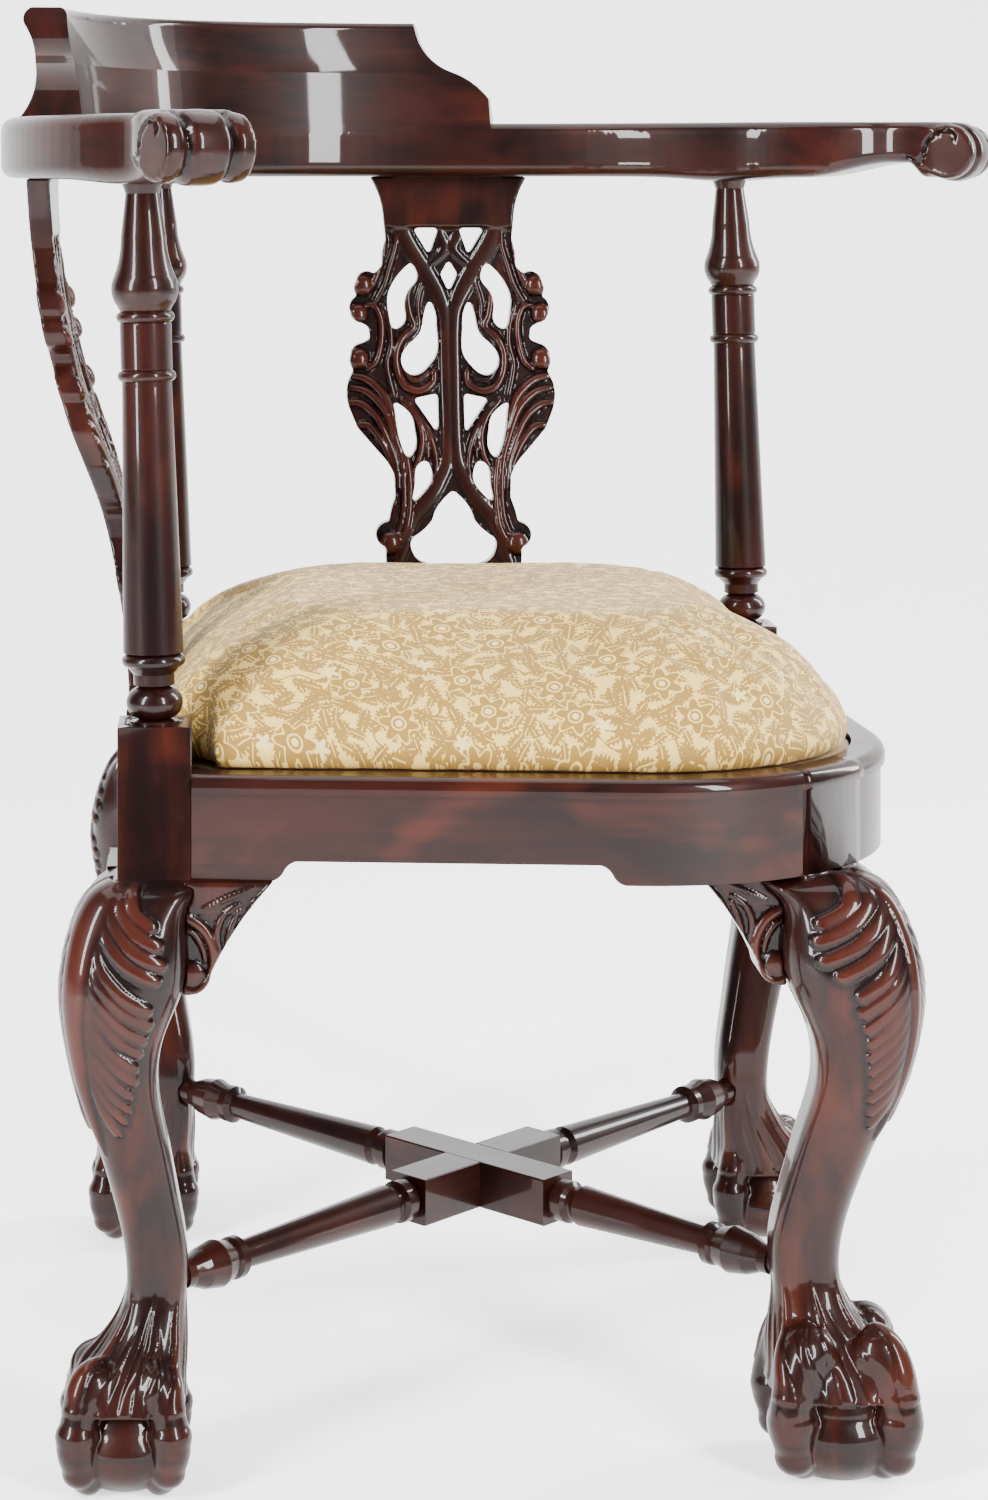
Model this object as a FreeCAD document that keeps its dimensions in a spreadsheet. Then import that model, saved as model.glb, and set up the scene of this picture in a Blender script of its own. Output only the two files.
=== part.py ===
import FreeCAD, Part
import functools
import math
import os
import re
import Sketcher
from FreeCAD import Placement, Rotation, Vector

# A corner chair: a square seat set on its point, so that one leg stands in
# front, one at each side and one behind. +Z is up, the front corner points
# towards -Y, and the origin is on the floor under the middle of the chair.

doc = FreeCAD.newDocument("corner_chair")

# Driving dimensions in millimetres and degrees
SIZES = [
    # Posts, rails and their joints
    ("post_spacing", 390, "between post centres along a seat rail"),
    ("post_width", 41, "square block of the side and back posts"),
    ("block_top", 417, "height of the top of those blocks"),
    ("rail_bottom", 333, "height of the lower edge of the seat rails"),
    ("rail_top", 391, "height of the rim of the seat rails"),
    ("rail_thickness", 32, "seat rail, outer face to inner face"),
    ("lip_width", 17, "rim that stands outside the slip seat"),
    ("rabbet_depth", 19, "step inside the rim that carries the slip seat"),
    ("rim_overhang", 2.5, "thumbnail moulding, how far it stands out"),
    ("rim_height", 10, "thumbnail moulding, its height"),
    ("arch_rise", 11, "raised middle of the lower edge"),
    ("arch_foot", 44, "length left low at each end of a rail"),
    ("arch_step", 14, "length of the step up to the raised middle"),
    ("tenon_length", 15, "rail tenon in the post"),
    ("tenon_thickness", 10, "rail tenon, across the rail"),
    ("tenon_setback", 7, "rail tenon, from the outer face"),
    ("tenon_shoulder", 10, "rail tenon, from the lower edge and from the rabbet"),
    ("front_splay", 3.4, "angle that each front rail opens outwards"),
    ("front_radius", 149, "outer radius of the rounded front corner"),
    ("front_block", 56, "width of the front leg's block along the corner"),
    # Side and back legs
    ("knee_height", 275, "height of the widest part of the knee"),
    ("knee_reach", 25, "how far the knee stands out from the post"),
    ("knee_width", 67, "square section of the knee"),
    ("ankle_height", 112, "height of the ankle"),
    ("ankle_width", 34, "square section of the ankle"),
    ("foot_reach", 23, "how far the foot stands out from the post"),
    ("foot_width", 93, "across the claws"),
    ("web_height", 46, "height of the web that holds the ball"),
    ("ball_diameter", 58, "ball under the claws"),
    ("foot_flat", 1.5, "depth of the flat that the ball stands on"),
    # Front leg
    ("front_inset", 20, "from the rounded corner's face in to the leg's middle"),
    ("front_leg_width", 46, "square section at the head of the front leg"),
    ("front_head_inset", 6, "how far the head stands behind the leg's middle"),
    ("front_block_depth", 44, "front leg's block, outer face to inner face"),
    ("front_knee_reach", 30, "how far the front knee stands out"),
    ("front_knee_width", 74, "square section of the front knee"),
    ("front_ankle_width", 38, "square section of the front ankle"),
    ("front_foot_reach", 20, "how far the front foot stands out"),
    ("front_foot_width", 108, "across the front claws"),
    ("front_ball_diameter", 68, "ball of the front foot"),
    # Knee blocks
    ("ear_length", 45, "knee block along the rail"),
    ("ear_depth", 62, "knee block below the rail"),
    ("ear_thickness", 32, "knee block, outer face to inner face"),
    ("ear_proud", 7, "how far the knee block stands out of the rail's face"),
    ("volute_radius", 12, "scroll at the foot of the knee block"),
    # Turned columns
    ("column_rake", 2, "lean of the columns towards the back"),
    ("column_foot_radius", 17.5, "bulb on the block"),
    ("column_base_radius", 17, "foot of the shaft"),
    ("column_shaft_radius", 14, "top of the shaft"),
    ("column_ring_radius", 17, "rings round the shaft"),
    ("column_vase_radius", 17.5, "widest part of the vase"),
    ("column_neck_radius", 9.5, "neck under the arm"),
    ("column_tenon_radius", 8, "round tenons at both ends"),
    ("column_tenon_length", 18, "round tenons at both ends"),
    # Arms and crest
    ("arm_bottom", 720, "height of the underside of the arms"),
    ("arm_thickness", 37, "underside to top of the arms"),
    ("arm_width", 50, "width of the arms"),
    ("arm_edge", 8, "rounding of the arms' edges"),
    ("bow_radius", 317, "the bow's flat arcs, from a side column to near the back one"),
    ("bow_back_radius", 150, "the bow's tighter arc over the back column"),
    ("arm_run", 12, "straight run of an arm in front of its column"),
    ("flare_radius", 92, "bend that takes an arm outwards past its column"),
    ("flare_angle", 59, "turn of that bend"),
    ("return_radius", 82, "bend back towards the scroll"),
    ("return_angle", 43, "turn of the bend back"),
    ("roll_diameter", 40, "scroll at the arm's end"),
    ("crest_height", 70, "crest rail above the arms"),
    ("crest_waist", 24, "crest rail at its thinnest"),
    ("crest_foot", 39, "crest rail where it stands on the arms"),
    ("crest_lean", 11, "how far the crest's inner face leans outwards"),
    ("crest_roll", 8, "roll along the crest's top, how far it stands out"),
    ("crest_half_angle", 52.5, "how far round a flat arc each end of the crest stands"),
    ("crest_end_run", 9.5, "angle over which the crest's ends rise"),
    # Splats
    ("shoe_height", 11, "moulded shoe under a splat"),
    ("shoe_length", 106, "moulded shoe along the rail"),
    ("splat_width", 142, "widest part of a splat"),
    ("splat_thickness", 14, "board that a splat is cut from"),
    ("splat_lean", 62, "how far a splat's top stands out over its foot"),
    ("splat_tenon", 8, "depth that a splat goes into shoe and arm"),
    ("splat_tongue", 72, "width of the splat's tongues"),
    # Stretchers
    ("stretcher_height", 103, "height of the stretchers' middle"),
    ("cross_width", 28, "square section where the stretchers cross"),
    ("cross_length", 128, "length of that square section"),
    ("stretcher_radius", 13.5, "widest turning of a stretcher"),
    ("stretcher_tenon_radius", 6.5, "round tenon in the leg"),
    ("stretcher_tenon_length", 14, "round tenon in the leg"),
    # Slip seat
    ("seat_clearance", 1.5, "gap between slip seat and rim"),
    ("seat_board_width", 48, "boards of the slip seat frame"),
    ("seat_board_thickness", 16, "boards of the slip seat frame"),
    ("webbing_width", 50, "webbing strip"),
    ("webbing_thickness", 1.2, "webbing strip"),
    ("webbing_pitch", 82, "from strip to strip"),
    ("cloth_thickness", 1, "dust cover under the slip seat"),
    ("crown_height", 466, "height of the top of the cushion"),
    ("notch_clearance", 4, "gap between cushion and posts at the notches"),
    # Fasteners and glue blocks
    ("corner_block_size", 48, "leg of a triangular corner block"),
    ("corner_block_height", 30, "height of a corner block"),
    ("screw_diameter", 4.5, "shank of the corner block screws"),
    ("screw_length", 38, "corner block screws"),
    ("screw_head_diameter", 9, "head of the screws"),
    ("screw_gap", 14, "between the two screws of a corner block"),
    ("crest_screw_length", 60, "screws up through the arms into the crest"),
]

sheet = doc.addObject("Spreadsheet::Sheet", "Sizes")
for row, (alias, size, meaning) in enumerate(SIZES, start=1):
    sheet.set(f"A{row}", meaning)
    sheet.set(f"B{row}", str(size))
    sheet.setAlias(f"B{row}", alias)
doc.recompute()

ALIASES = "|".join(sorted((alias for alias, _, _ in SIZES), key=len, reverse=True))
KNOWN = re.compile(rf"\b({ALIASES})\b")


def bound(text):
    """The expression with each size's name pointing at its cell."""
    return KNOWN.sub(r"Sizes.\1", str(text))


@functools.cache
def value(text):
    """What an expression comes to."""
    return float(sheet.evalExpression(bound(text)))


# Places worked out from the driving dimensions
HALF_POST = "(post_width / 2)"
DIAGONAL = "(post_spacing / sqrt(2))"
KNEE_CORNER = "(knee_width * 0.56 + knee_reach)"
FRONT_KNEE_CORNER = "(front_knee_width * 0.56 + front_knee_reach)"
OUTER_FACE = "(post_spacing / 2 + post_width / 2)"
INNER_FACE = "(post_spacing / 2 - post_width / 2)"
SHARP_CORNER = f"(({OUTER_FACE} + {INNER_FACE} * tan(front_splay)) / (1 - tan(front_splay)))"
HALF_FRONT = "(45 - front_splay)"
CORNER_CENTRE = f"({SHARP_CORNER} * sqrt(2) - front_radius / sin({HALF_FRONT}))"
FRONT_AXIS = f"({CORNER_CENTRE} + front_radius - front_inset)"
SEAT_Y = f"(({FRONT_AXIS} + {FRONT_KNEE_CORNER} - {DIAGONAL} - {KNEE_CORNER}) / 2)"
STRAIGHT_FRONT = (f"(({SHARP_CORNER} + {INNER_FACE}) / cos(front_splay)"
                  f" - front_radius / tan({HALF_FRONT}))")
BLOCK_ANGLE = "(asin(front_block / 2 / front_radius) / (1 deg))"
ARM_TOP = "(arm_bottom + arm_thickness)"
# The bow's flat arcs are centred this far behind the middle and to the other side
BOW_OFFSET = f"((sqrt(2 * bow_radius * bow_radius - {DIAGONAL} * {DIAGONAL}) - {DIAGONAL}) / 2)"
BOW_REACH = f"(sqrt((bow_radius - bow_back_radius)^2 - {BOW_OFFSET}^2))"
BOW_BACK = f"({BOW_REACH} - {BOW_OFFSET} + bow_back_radius)"
BOW_HEADING = f"(asin({BOW_OFFSET} / bow_radius) / (1 deg))"
# Where the back arc runs into the right flat arc
BOW_JOIN = (f"({BOW_OFFSET} * (bow_radius / (bow_radius - bow_back_radius) - 1))",
            f"({BOW_REACH} * bow_radius / (bow_radius - bow_back_radius) - {BOW_OFFSET})")
COLUMN_HEIGHT = "((arm_bottom - block_top) / cos(column_rake))"
BOW_SHIFT = "((arm_bottom - block_top) * tan(column_rake))"
LEDGE = "(rail_top - rabbet_depth)"
SPLAT_LINE = f"({OUTER_FACE} - lip_width / 2)"
SHOE_TOP = "(rail_top + shoe_height)"


def place(thing, x="0", y="0", z="0", turn=0.0):
    """Set a thing down at x, y, z, turned about the vertical."""
    thing.Placement = Placement(Vector(value(x), value(y), value(z)), Rotation(Vector(0, 0, 1), turn))
    for axis, text in zip("xyz", (x, y, z)):
        thing.setExpression(f"Placement.Base.{axis}", bound(text))


def new_body(label):
    """An empty body with its label."""
    body = doc.addObject("PartDesign::Body", label)
    body.Label = label
    return body


def new_sketch(body, label, role, base=("0", "0", "0"), turn=Rotation()):
    """A sketch on one of the body's own planes, moved by base in that plane's axes."""
    sketch = body.newObject("Sketcher::SketchObject", label)
    plane = next(item for item in body.Origin.OriginFeatures if item.Role == role)
    sketch.AttachmentSupport = [(plane, "")]
    sketch.MapMode = "FlatFace"
    offset(sketch, base, turn)
    return sketch


def offset(feature, base, turn=Rotation()):
    """Bind the attachment offset of a sketch or primitive."""
    feature.AttachmentOffset = Placement(Vector(*[value(text) for text in base]), turn)
    for axis, text in zip("xyz", base):
        feature.setExpression(f"AttachmentOffset.Base.{axis}", bound(text))


def seat(primitive, base, turn=Rotation()):
    """Bind the place of a box or ball within its body."""
    primitive.Placement = Placement(Vector(*[value(text) for text in base]), turn)
    for axis, text in zip("xyz", base):
        primitive.setExpression(f"Placement.Base.{axis}", bound(text))


def hold(sketch, rules):
    """Add constraints, each with the expression that its size follows."""
    first = sketch.ConstraintCount
    sketch.addConstraint([Sketcher.Constraint(*rule, value(text)) for rule, text in rules])
    for index, (_, text) in enumerate(rules, start=first):
        sketch.setExpression(f"Constraints[{index}]", bound(text))


def draw(sketch, corners, closed=True):
    """Draw an outline. A corner is (x, y) after a straight run, or
    (x, y, radius) after an arc that turns left, with a minus for right."""
    count = len(corners)
    rules = []
    for index in range(count if closed else count - 1):
        start = corners[index]
        end = corners[(index + 1) % count]
        a = Vector(value(start[0]), value(start[1]), 0)
        b = Vector(value(end[0]), value(end[1]), 0)
        if len(end) == 2:
            edge = sketch.addGeometry(Part.LineSegment(a, b), False)
        else:
            radius = value(end[2])
            size = f"abs({end[2]})"
            middle = arc_middle(a, b, radius)
            # Arcs are kept anticlockwise, so one that turns right swaps its ends
            if radius < 0:
                start, end = end, start
                a, b = b, a
            edge = sketch.addGeometry(Part.Arc(a, middle, b), False)
            rules.append((("Radius", edge), size))
        for point, corner in ((1, start), (2, end)):
            rules.append((("DistanceX", edge, point), corner[0]))
            rules.append((("DistanceY", edge, point), corner[1]))
    hold(sketch, rules)


def arc_middle(a, b, radius):
    """Middle of the short arc from a to b; a positive radius turns left."""
    chord = b - a
    half = chord.Length / 2
    rise = abs(radius) - math.sqrt(max(radius * radius - half * half, 0))
    left = Vector(-chord.y, chord.x, 0).normalize()
    return (a + b) * 0.5 - left * math.copysign(rise, radius)


def circle(sketch, radius):
    """A circle about the sketch's own origin."""
    ring = sketch.addGeometry(Part.Circle(Vector(), Vector(0, 0, 1), value(radius)), False)
    sketch.addConstraint(Sketcher.Constraint("Coincident", ring, 3, -1, 1))
    hold(sketch, [(("Radius", ring), radius)])


def pad(body, sketch, length, both_ways=False):
    """Raise a sketch by a length."""
    feature = body.newObject("PartDesign::Pad", f"{sketch.Label}_pad")
    feature.Profile = sketch
    feature.Length = value(length)
    feature.setExpression("Length", bound(length))
    feature.Midplane = both_ways
    return feature


def cut_through(body, sketch):
    """Cut a sketch right through, both ways."""
    feature = body.newObject("PartDesign::Pocket", f"{sketch.Label}_cut")
    feature.Profile = sketch
    feature.Type = 1
    feature.Midplane = True
    return feature


def revolve(body, sketch, angle="360", both_ways=False):
    """Turn a sketch about its own vertical axis."""
    feature = body.newObject("PartDesign::Revolution", f"{sketch.Label}_turned")
    feature.Profile = sketch
    feature.ReferenceAxis = (sketch, ["V_Axis"])
    feature.Angle = value(angle)
    feature.setExpression("Angle", bound(angle))
    feature.Midplane = both_ways
    return feature


def square(sketch, side, corner):
    """A square with rounded corners about the sketch's own origin."""
    near = f"({side} / 2 - {corner})"
    far = f"({side} / 2)"
    draw(sketch, [
        (f"-{near}", f"-{far}", corner), (near, f"-{far}"),
        (far, f"-{near}", corner), (far, near),
        (near, far, corner), (f"-{near}", far),
        (f"-{far}", near, corner), (f"-{far}", f"-{near}")])


def loft(body, sections, label):
    """A smooth skin through sections."""
    feature = body.newObject("PartDesign::AdditiveLoft", label)
    feature.Profile = sections[0]
    feature.Sections = sections[1:]
    return feature


def clone(label, source, x="0", y="0", z="0", turn=0.0):
    """A second body of the same shape, set down elsewhere."""
    body = new_body(label)
    base = body.newObject("PartDesign::FeatureBase", f"{label}_base")
    base.BaseFeature = source
    body.Tip = base
    place(body, x, y, z, turn)
    return body


def fitted(label, base, neighbours):
    """The base with a bed cut in it for each neighbour that enters it."""
    bed = doc.addObject("Part::Compound", f"{label}_bed")
    bed.Links = neighbours
    cut = doc.addObject("Part::Cut", label)
    cut.Base = base
    cut.Tool = bed
    cut.Label = label
    return cut


def mirrored(label, source):
    """The same piece on the other side of the chair."""
    mirror = doc.addObject("Part::Mirroring", label)
    mirror.Source = source
    mirror.Normal = Vector(1, 0, 0)
    mirror.Label = label
    return mirror


# Legs


def mix(a, b, part):
    """A size part of the way from a to b."""
    return f"({a} + {part} * ({b} - {a}))"


def cabriole(label, head, head_reach, knee, reach, ankle, foot, foot_reach, ball):
    """A cabriole leg from the rail down to its ball and claws. The foot's middle
    is the body's origin and the knee points towards -Y."""
    body = new_body(label)
    stations = [
        ("rail_bottom", head_reach, f"({head} - 1)", 0.07),
        (mix("rail_bottom", "knee_height", 0.22), f"0.56 * {reach}", mix(head, knee, 0.66), 0.26),
        (mix("rail_bottom", "knee_height", 0.64), f"0.86 * {reach}", mix(head, knee, 0.96), 0.34),
        ("knee_height", reach, knee, 0.36),
        (mix("knee_height", "ankle_height", 0.14), f"1.2 * {reach}", mix(ankle, knee, 0.65), 0.35),
        (mix("knee_height", "ankle_height", 0.34), f"1.12 * {reach}", mix(ankle, knee, 0.31), 0.33),
        (mix("knee_height", "ankle_height", 0.53), f"0.7 * {reach}", mix(ankle, knee, 0.17), 0.32),
        (mix("knee_height", "ankle_height", 0.73), f"0.28 * {reach}", mix(ankle, knee, 0.07), 0.32),
        ("ankle_height", f"-0.07 * {reach}", ankle, 0.32),
        (mix("ankle_height", "web_height", 0.2), f"-0.02 * {reach}", ankle, 0.34),
        (mix("ankle_height", "web_height", 0.52), f"0.32 * {foot_reach}", mix(ankle, foot, 0.18), 0.36),
        (mix("ankle_height", "web_height", 0.83), f"0.86 * {foot_reach}", mix(ankle, foot, 0.45), 0.38),
        ("web_height", foot_reach, mix(ankle, foot, 0.58), 0.4),
    ]
    sections = []
    for number, (height, out, side, corner) in enumerate(stations):
        sketch = new_sketch(body, f"{label}_section_{number}", "XY_Plane",
                            ("0", f"{foot_reach} - ({out})", height), Rotation(Vector(0, 0, 1), 45))
        square(sketch, side, f"({corner} * {side})")
        sections.append(sketch)
    loft(body, sections, f"{label}_curve")
    ball_foot(body, label, foot, ball)
    return body


# Angle down from the top, distance from the ball's middle and thickness of a claw
KNUCKLES = [(24, 0.42, 0.9), (48, 0.42, 1.08), (70, 0.4, 0.92), (91, 0.39, 1), (110, 0.38, 0.85),
            (126, 0.37, 0.7), (138, 0.36, 0.35)]


def ball_foot(body, label, foot, ball):
    """A ball with a flat to stand on, held by four claws with knuckles."""
    middle = f"({ball} / 2 - foot_flat)"
    sphere = body.newObject("PartDesign::AdditiveSphere", f"{label}_ball")
    sphere.Radius = value(f"{ball} / 2")
    sphere.setExpression("Radius", bound(f"{ball} / 2"))
    seat(sphere, ("0", "0", middle))
    thick = f"({foot} * 0.12)"
    sections = []
    for angle, reach, share in KNUCKLES:
        path = f"({reach} * {foot})"
        sketch = new_sketch(body, f"{label}_claw_{angle}", "XY_Plane",
                            ("0", f"-{path} * sin({angle})", f"{middle} + {path} * cos({angle})"),
                            Rotation(Vector(1, 0, 0), 90 + angle))
        circle(sketch, f"{share} * {thick}")
        sections.append(sketch)
    claw = loft(body, sections, f"{label}_claw")
    claws = body.newObject("PartDesign::PolarPattern", f"{label}_claws")
    claws.Originals = [claw]
    claws.Axis = (next(item for item in body.Origin.OriginFeatures if item.Role == "Z_Axis"), [""])
    claws.Angle = 360
    claws.Occurrences = 4
    body.Tip = claws
    flat = body.newObject("PartDesign::SubtractiveBox", f"{label}_flat")
    for side in ("Length", "Width", "Height"):
        setattr(flat, side, value(f"2 * {foot}"))
        flat.setExpression(side, bound(f"2 * {foot}"))
    seat(flat, (f"-{foot}", f"-{foot}", f"-2 * {foot}"))


def post_leg():
    """Side and back legs: the cabriole with its square block above."""
    body = cabriole("cabriole_leg", "post_width", "0", "knee_width", "knee_reach",
                    "ankle_width", "foot_width", "foot_reach", "ball_diameter")
    sketch = new_sketch(body, "block", "XY_Plane", ("0", "foot_reach", "rail_bottom - 2"),
                        Rotation(Vector(0, 0, 1), 45))
    square(sketch, "post_width", "1")
    pad(body, sketch, "block_top - rail_bottom + 2")
    return body


def rail_section(sketch, outer, sign, thickness):
    """The rail's section: thumbnail rim outside, rabbet inside."""
    def across(text):
        return f"({outer} + {sign} * ({text}))"
    draw(sketch, [
        (across("0"), "rail_bottom"),
        (across("0"), "rail_top - rim_height"),
        (across("rim_overhang"), "rail_top - rim_height"),
        (across("rim_overhang"), "rail_top - rim_height * 0.65"),
        (across("rim_overhang - rim_height * 0.6"), "rail_top", f"{sign} * rim_height * 0.66"),
        (across("-lip_width"), "rail_top"),
        (across("-lip_width"), LEDGE),
        (across(f"-{thickness}"), LEDGE),
        (across(f"-{thickness}"), "rail_bottom")])


def corner_leg():
    """Front leg: the cabriole, with a block that is part of the rounded corner."""
    body = cabriole("front_cabriole", "front_leg_width", "-front_head_inset", "front_knee_width",
                    "front_knee_reach", "front_ankle_width", "front_foot_width",
                    "front_foot_reach", "front_ball_diameter")
    centre = f"({FRONT_AXIS} + front_foot_reach - {CORNER_CENTRE})"
    sketch = new_sketch(body, "corner_block", "YZ_Plane", (centre, "0", "0"))
    rail_section(sketch, "-front_radius", "-1", "front_block_depth")
    revolve(body, sketch, f"2 * {BLOCK_ANGLE}", both_ways=True)
    return body


# Rails


def arch(body, label, start, end):
    """Raise the middle of the rail's lower edge between two ogee steps."""
    sketch = new_sketch(body, label, "XZ_Plane")
    low = "(rail_bottom - 5)"
    high = "(rail_bottom + arch_rise)"
    half = "(rail_bottom + arch_rise / 2)"
    draw(sketch, [
        (f"{start} + arch_foot", low),
        (f"{start} + arch_foot", "rail_bottom"),
        (f"{start} + arch_foot + arch_step / 2", half, "arch_step * 0.7"),
        (f"{start} + arch_foot + arch_step", high, "-arch_step * 0.7"),
        (f"{end} - arch_foot - arch_step", high),
        (f"{end} - arch_foot - arch_step / 2", half, "-arch_step * 0.7"),
        (f"{end} - arch_foot", "rail_bottom", "arch_step * 0.7"),
        (f"{end} - arch_foot", low)])
    return cut_through(body, sketch)


def tenon(body, label, x, y, turn=0.0):
    """A rail's tenon, whose end stands at x, y with its cheek along the rail."""
    box = body.newObject("PartDesign::AdditiveBox", label)
    sizes = {"Length": "tenon_length + 2", "Width": "tenon_thickness",
             "Height": f"{LEDGE} - rail_bottom - 2 * tenon_shoulder"}
    for side, text in sizes.items():
        setattr(box, side, value(text))
        box.setExpression(side, bound(text))
    seat(box, (x, y, "rail_bottom + tenon_shoulder"), Rotation(Vector(0, 0, 1), turn))
    return box


def back_rail():
    """A straight rail along +X from a post's middle, its outer face towards +Y."""
    body = new_body("back_rail")
    start = HALF_POST
    end = f"(post_spacing - {HALF_POST})"
    section = new_sketch(body, "back_rail_section", "YZ_Plane", ("0", "0", start))
    rail_section(section, HALF_POST, "1", "rail_thickness")
    pad(body, section, f"{end} - {start}")
    arch(body, "back_rail_arch", start, end)
    cheek = f"{HALF_POST} - tenon_setback - tenon_thickness"
    tenon(body, "near_tenon", f"{start} - tenon_length", cheek)
    tenon(body, "far_tenon", f"{end} - 2", cheek)
    return body


def front_rail():
    """A front rail from a post's middle: straight, then round to the front leg."""
    body = new_body("front_rail")
    spine = new_sketch(body, "front_rail_line", "XY_Plane", (HALF_POST, HALF_POST, "0"),
                       Rotation(Vector(0, 0, 1), value("front_splay")))
    lead = "(rail_thickness * tan(front_splay) + 1)"
    turned = f"({HALF_FRONT} + 2 * front_splay - {BLOCK_ANGLE})"
    end_x = f"({STRAIGHT_FRONT} + front_radius * sin({turned}))"
    end_y = f"(front_radius * (cos({turned}) - 1))"
    draw(spine, [(f"-{lead}", "0"), (STRAIGHT_FRONT, "0"), (end_x, end_y, "-front_radius")], closed=False)
    section = new_sketch(body, "front_rail_section", "YZ_Plane")
    splay = Rotation(Vector(0, 1, 0), value("front_splay"))
    offset(section, (f"{HALF_POST} - {lead} * sin(front_splay)", "0",
                     f"{HALF_POST} - {lead} * cos(front_splay)"), splay)
    rail_section(section, "0", "1", "rail_thickness")
    sweep = body.newObject("PartDesign::AdditivePipe", "front_rail_sweep")
    sweep.Profile = section
    sweep.Spine = (spine, ["Edge1", "Edge2"])
    # Shoulder square to the post, so the splayed rail closes against its face
    shoulder = new_sketch(body, "front_rail_shoulder", "XY_Plane")
    beyond = f"({HALF_POST} - {lead} - 2)"
    inner = f"({HALF_POST} - rail_thickness - 4)"
    outer = f"({HALF_POST} + rim_overhang + 2)"
    draw(shoulder, [(beyond, inner), (HALF_POST, inner), (HALF_POST, outer), (beyond, outer)])
    cut_through(body, shoulder)
    arch_end = f"({HALF_POST} + {end_x} - front_block)"
    arch(body, "front_rail_arch", HALF_POST, arch_end)
    cheek = f"{HALF_POST} - tenon_setback - tenon_thickness"
    tenon(body, "post_tenon", f"{HALF_POST} - tenon_length", cheek)
    heading = value("front_splay") - value(turned)
    reach = "(front_radius - tenon_setback - tenon_thickness)"
    along = f"({turned} - front_splay)"
    centre_x = f"({HALF_POST} + {STRAIGHT_FRONT} * cos(front_splay) + front_radius * sin(front_splay))"
    centre_y = f"({HALF_POST} + {STRAIGHT_FRONT} * sin(front_splay) - front_radius * cos(front_splay))"
    tenon(body, "corner_tenon",
          f"{centre_x} + {reach} * sin({along}) - 2 * cos({along})",
          f"{centre_y} + {reach} * cos({along}) + 2 * sin({along})", heading)
    return body


def knee_block():
    """A knee block along +X from a leg's middle, its outer face towards +Y."""
    body = new_body("knee_block")
    sketch = new_sketch(body, "knee_block_side", "XZ_Plane", ("0", "0", f"-({HALF_POST} + ear_proud)"))
    root = f"({HALF_POST} - 5)"
    tip = f"({HALF_POST} + ear_length)"
    foot = "(rail_bottom - ear_depth)"
    eye = f"({HALF_POST} - 1)"
    draw(sketch, [
        (root, "rail_bottom"), (root, foot), (eye, foot),
        (f"{eye} + volute_radius", f"{foot} + volute_radius", "volute_radius * 1.01"),
        (tip, "rail_bottom", "-ear_length * 4")])
    pad(body, sketch, "ear_thickness")
    return body


# Turned work


def ring(radius, low, high):
    """A bead standing out to a radius between two heights."""
    half = f"(({high} - ({low})) / 2)"
    return [(f"({radius} - {half})", low), (f"({radius} - {half})", high, f"{half} * 1.02")]


def column():
    """A turned column, from its foot up, with a round tenon at each end."""
    body = new_body("turned_column")
    sketch = new_sketch(body, "column_side", "XZ_Plane")
    top = COLUMN_HEIGHT
    waist = "(column_shaft_radius + 0.5)"
    draw(sketch, [
        ("0", "-column_tenon_length"),
        ("column_tenon_radius", "-column_tenon_length"),
        ("column_tenon_radius", "-1"),
        ("column_foot_radius - 4", "-1"),
        ("column_foot_radius - 4", "1"),
        *ring("column_foot_radius", "2", "20"),
        ("column_foot_radius - 6", "21"),
        ("column_foot_radius - 6", "27"),
        *ring("(column_base_radius + 1.5)", "31", "38"),
        ("column_base_radius", "39"),
        ("column_shaft_radius", f"{top} - 116"),
        *ring("column_ring_radius", f"{top} - 113", f"{top} - 107"),
        (waist, f"{top} - 106"),
        (waist, f"{top} - 81"),
        *ring("column_ring_radius", f"{top} - 80", f"{top} - 74"),
        (waist, f"{top} - 73"),
        ("column_vase_radius - 2", f"{top} - 71"),
        ("column_vase_radius - 0.4", f"{top} - 54", "16"),
        (mix("column_vase_radius", "column_neck_radius", 0.6), f"{top} - 32", "-60"),
        ("column_neck_radius", f"{top} - 8"),
        ("column_neck_radius + 2", f"{top} - 2"),
        ("column_neck_radius + 2", f"{top} + 1"),
        ("column_tenon_radius", f"{top} + 1"),
        ("column_tenon_radius", f"{top} + column_tenon_length"),
        ("0", f"{top} + column_tenon_length")])
    revolve(body, sketch)
    return body


def stand(body, x, y):
    """Stand a column on its block and lean it towards the back."""
    place(body, x, y, "block_top")
    lean = Rotation(Vector(1, 0, 0), -value("column_rake"))
    body.Placement = Placement(body.Placement.Base, lean)


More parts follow.
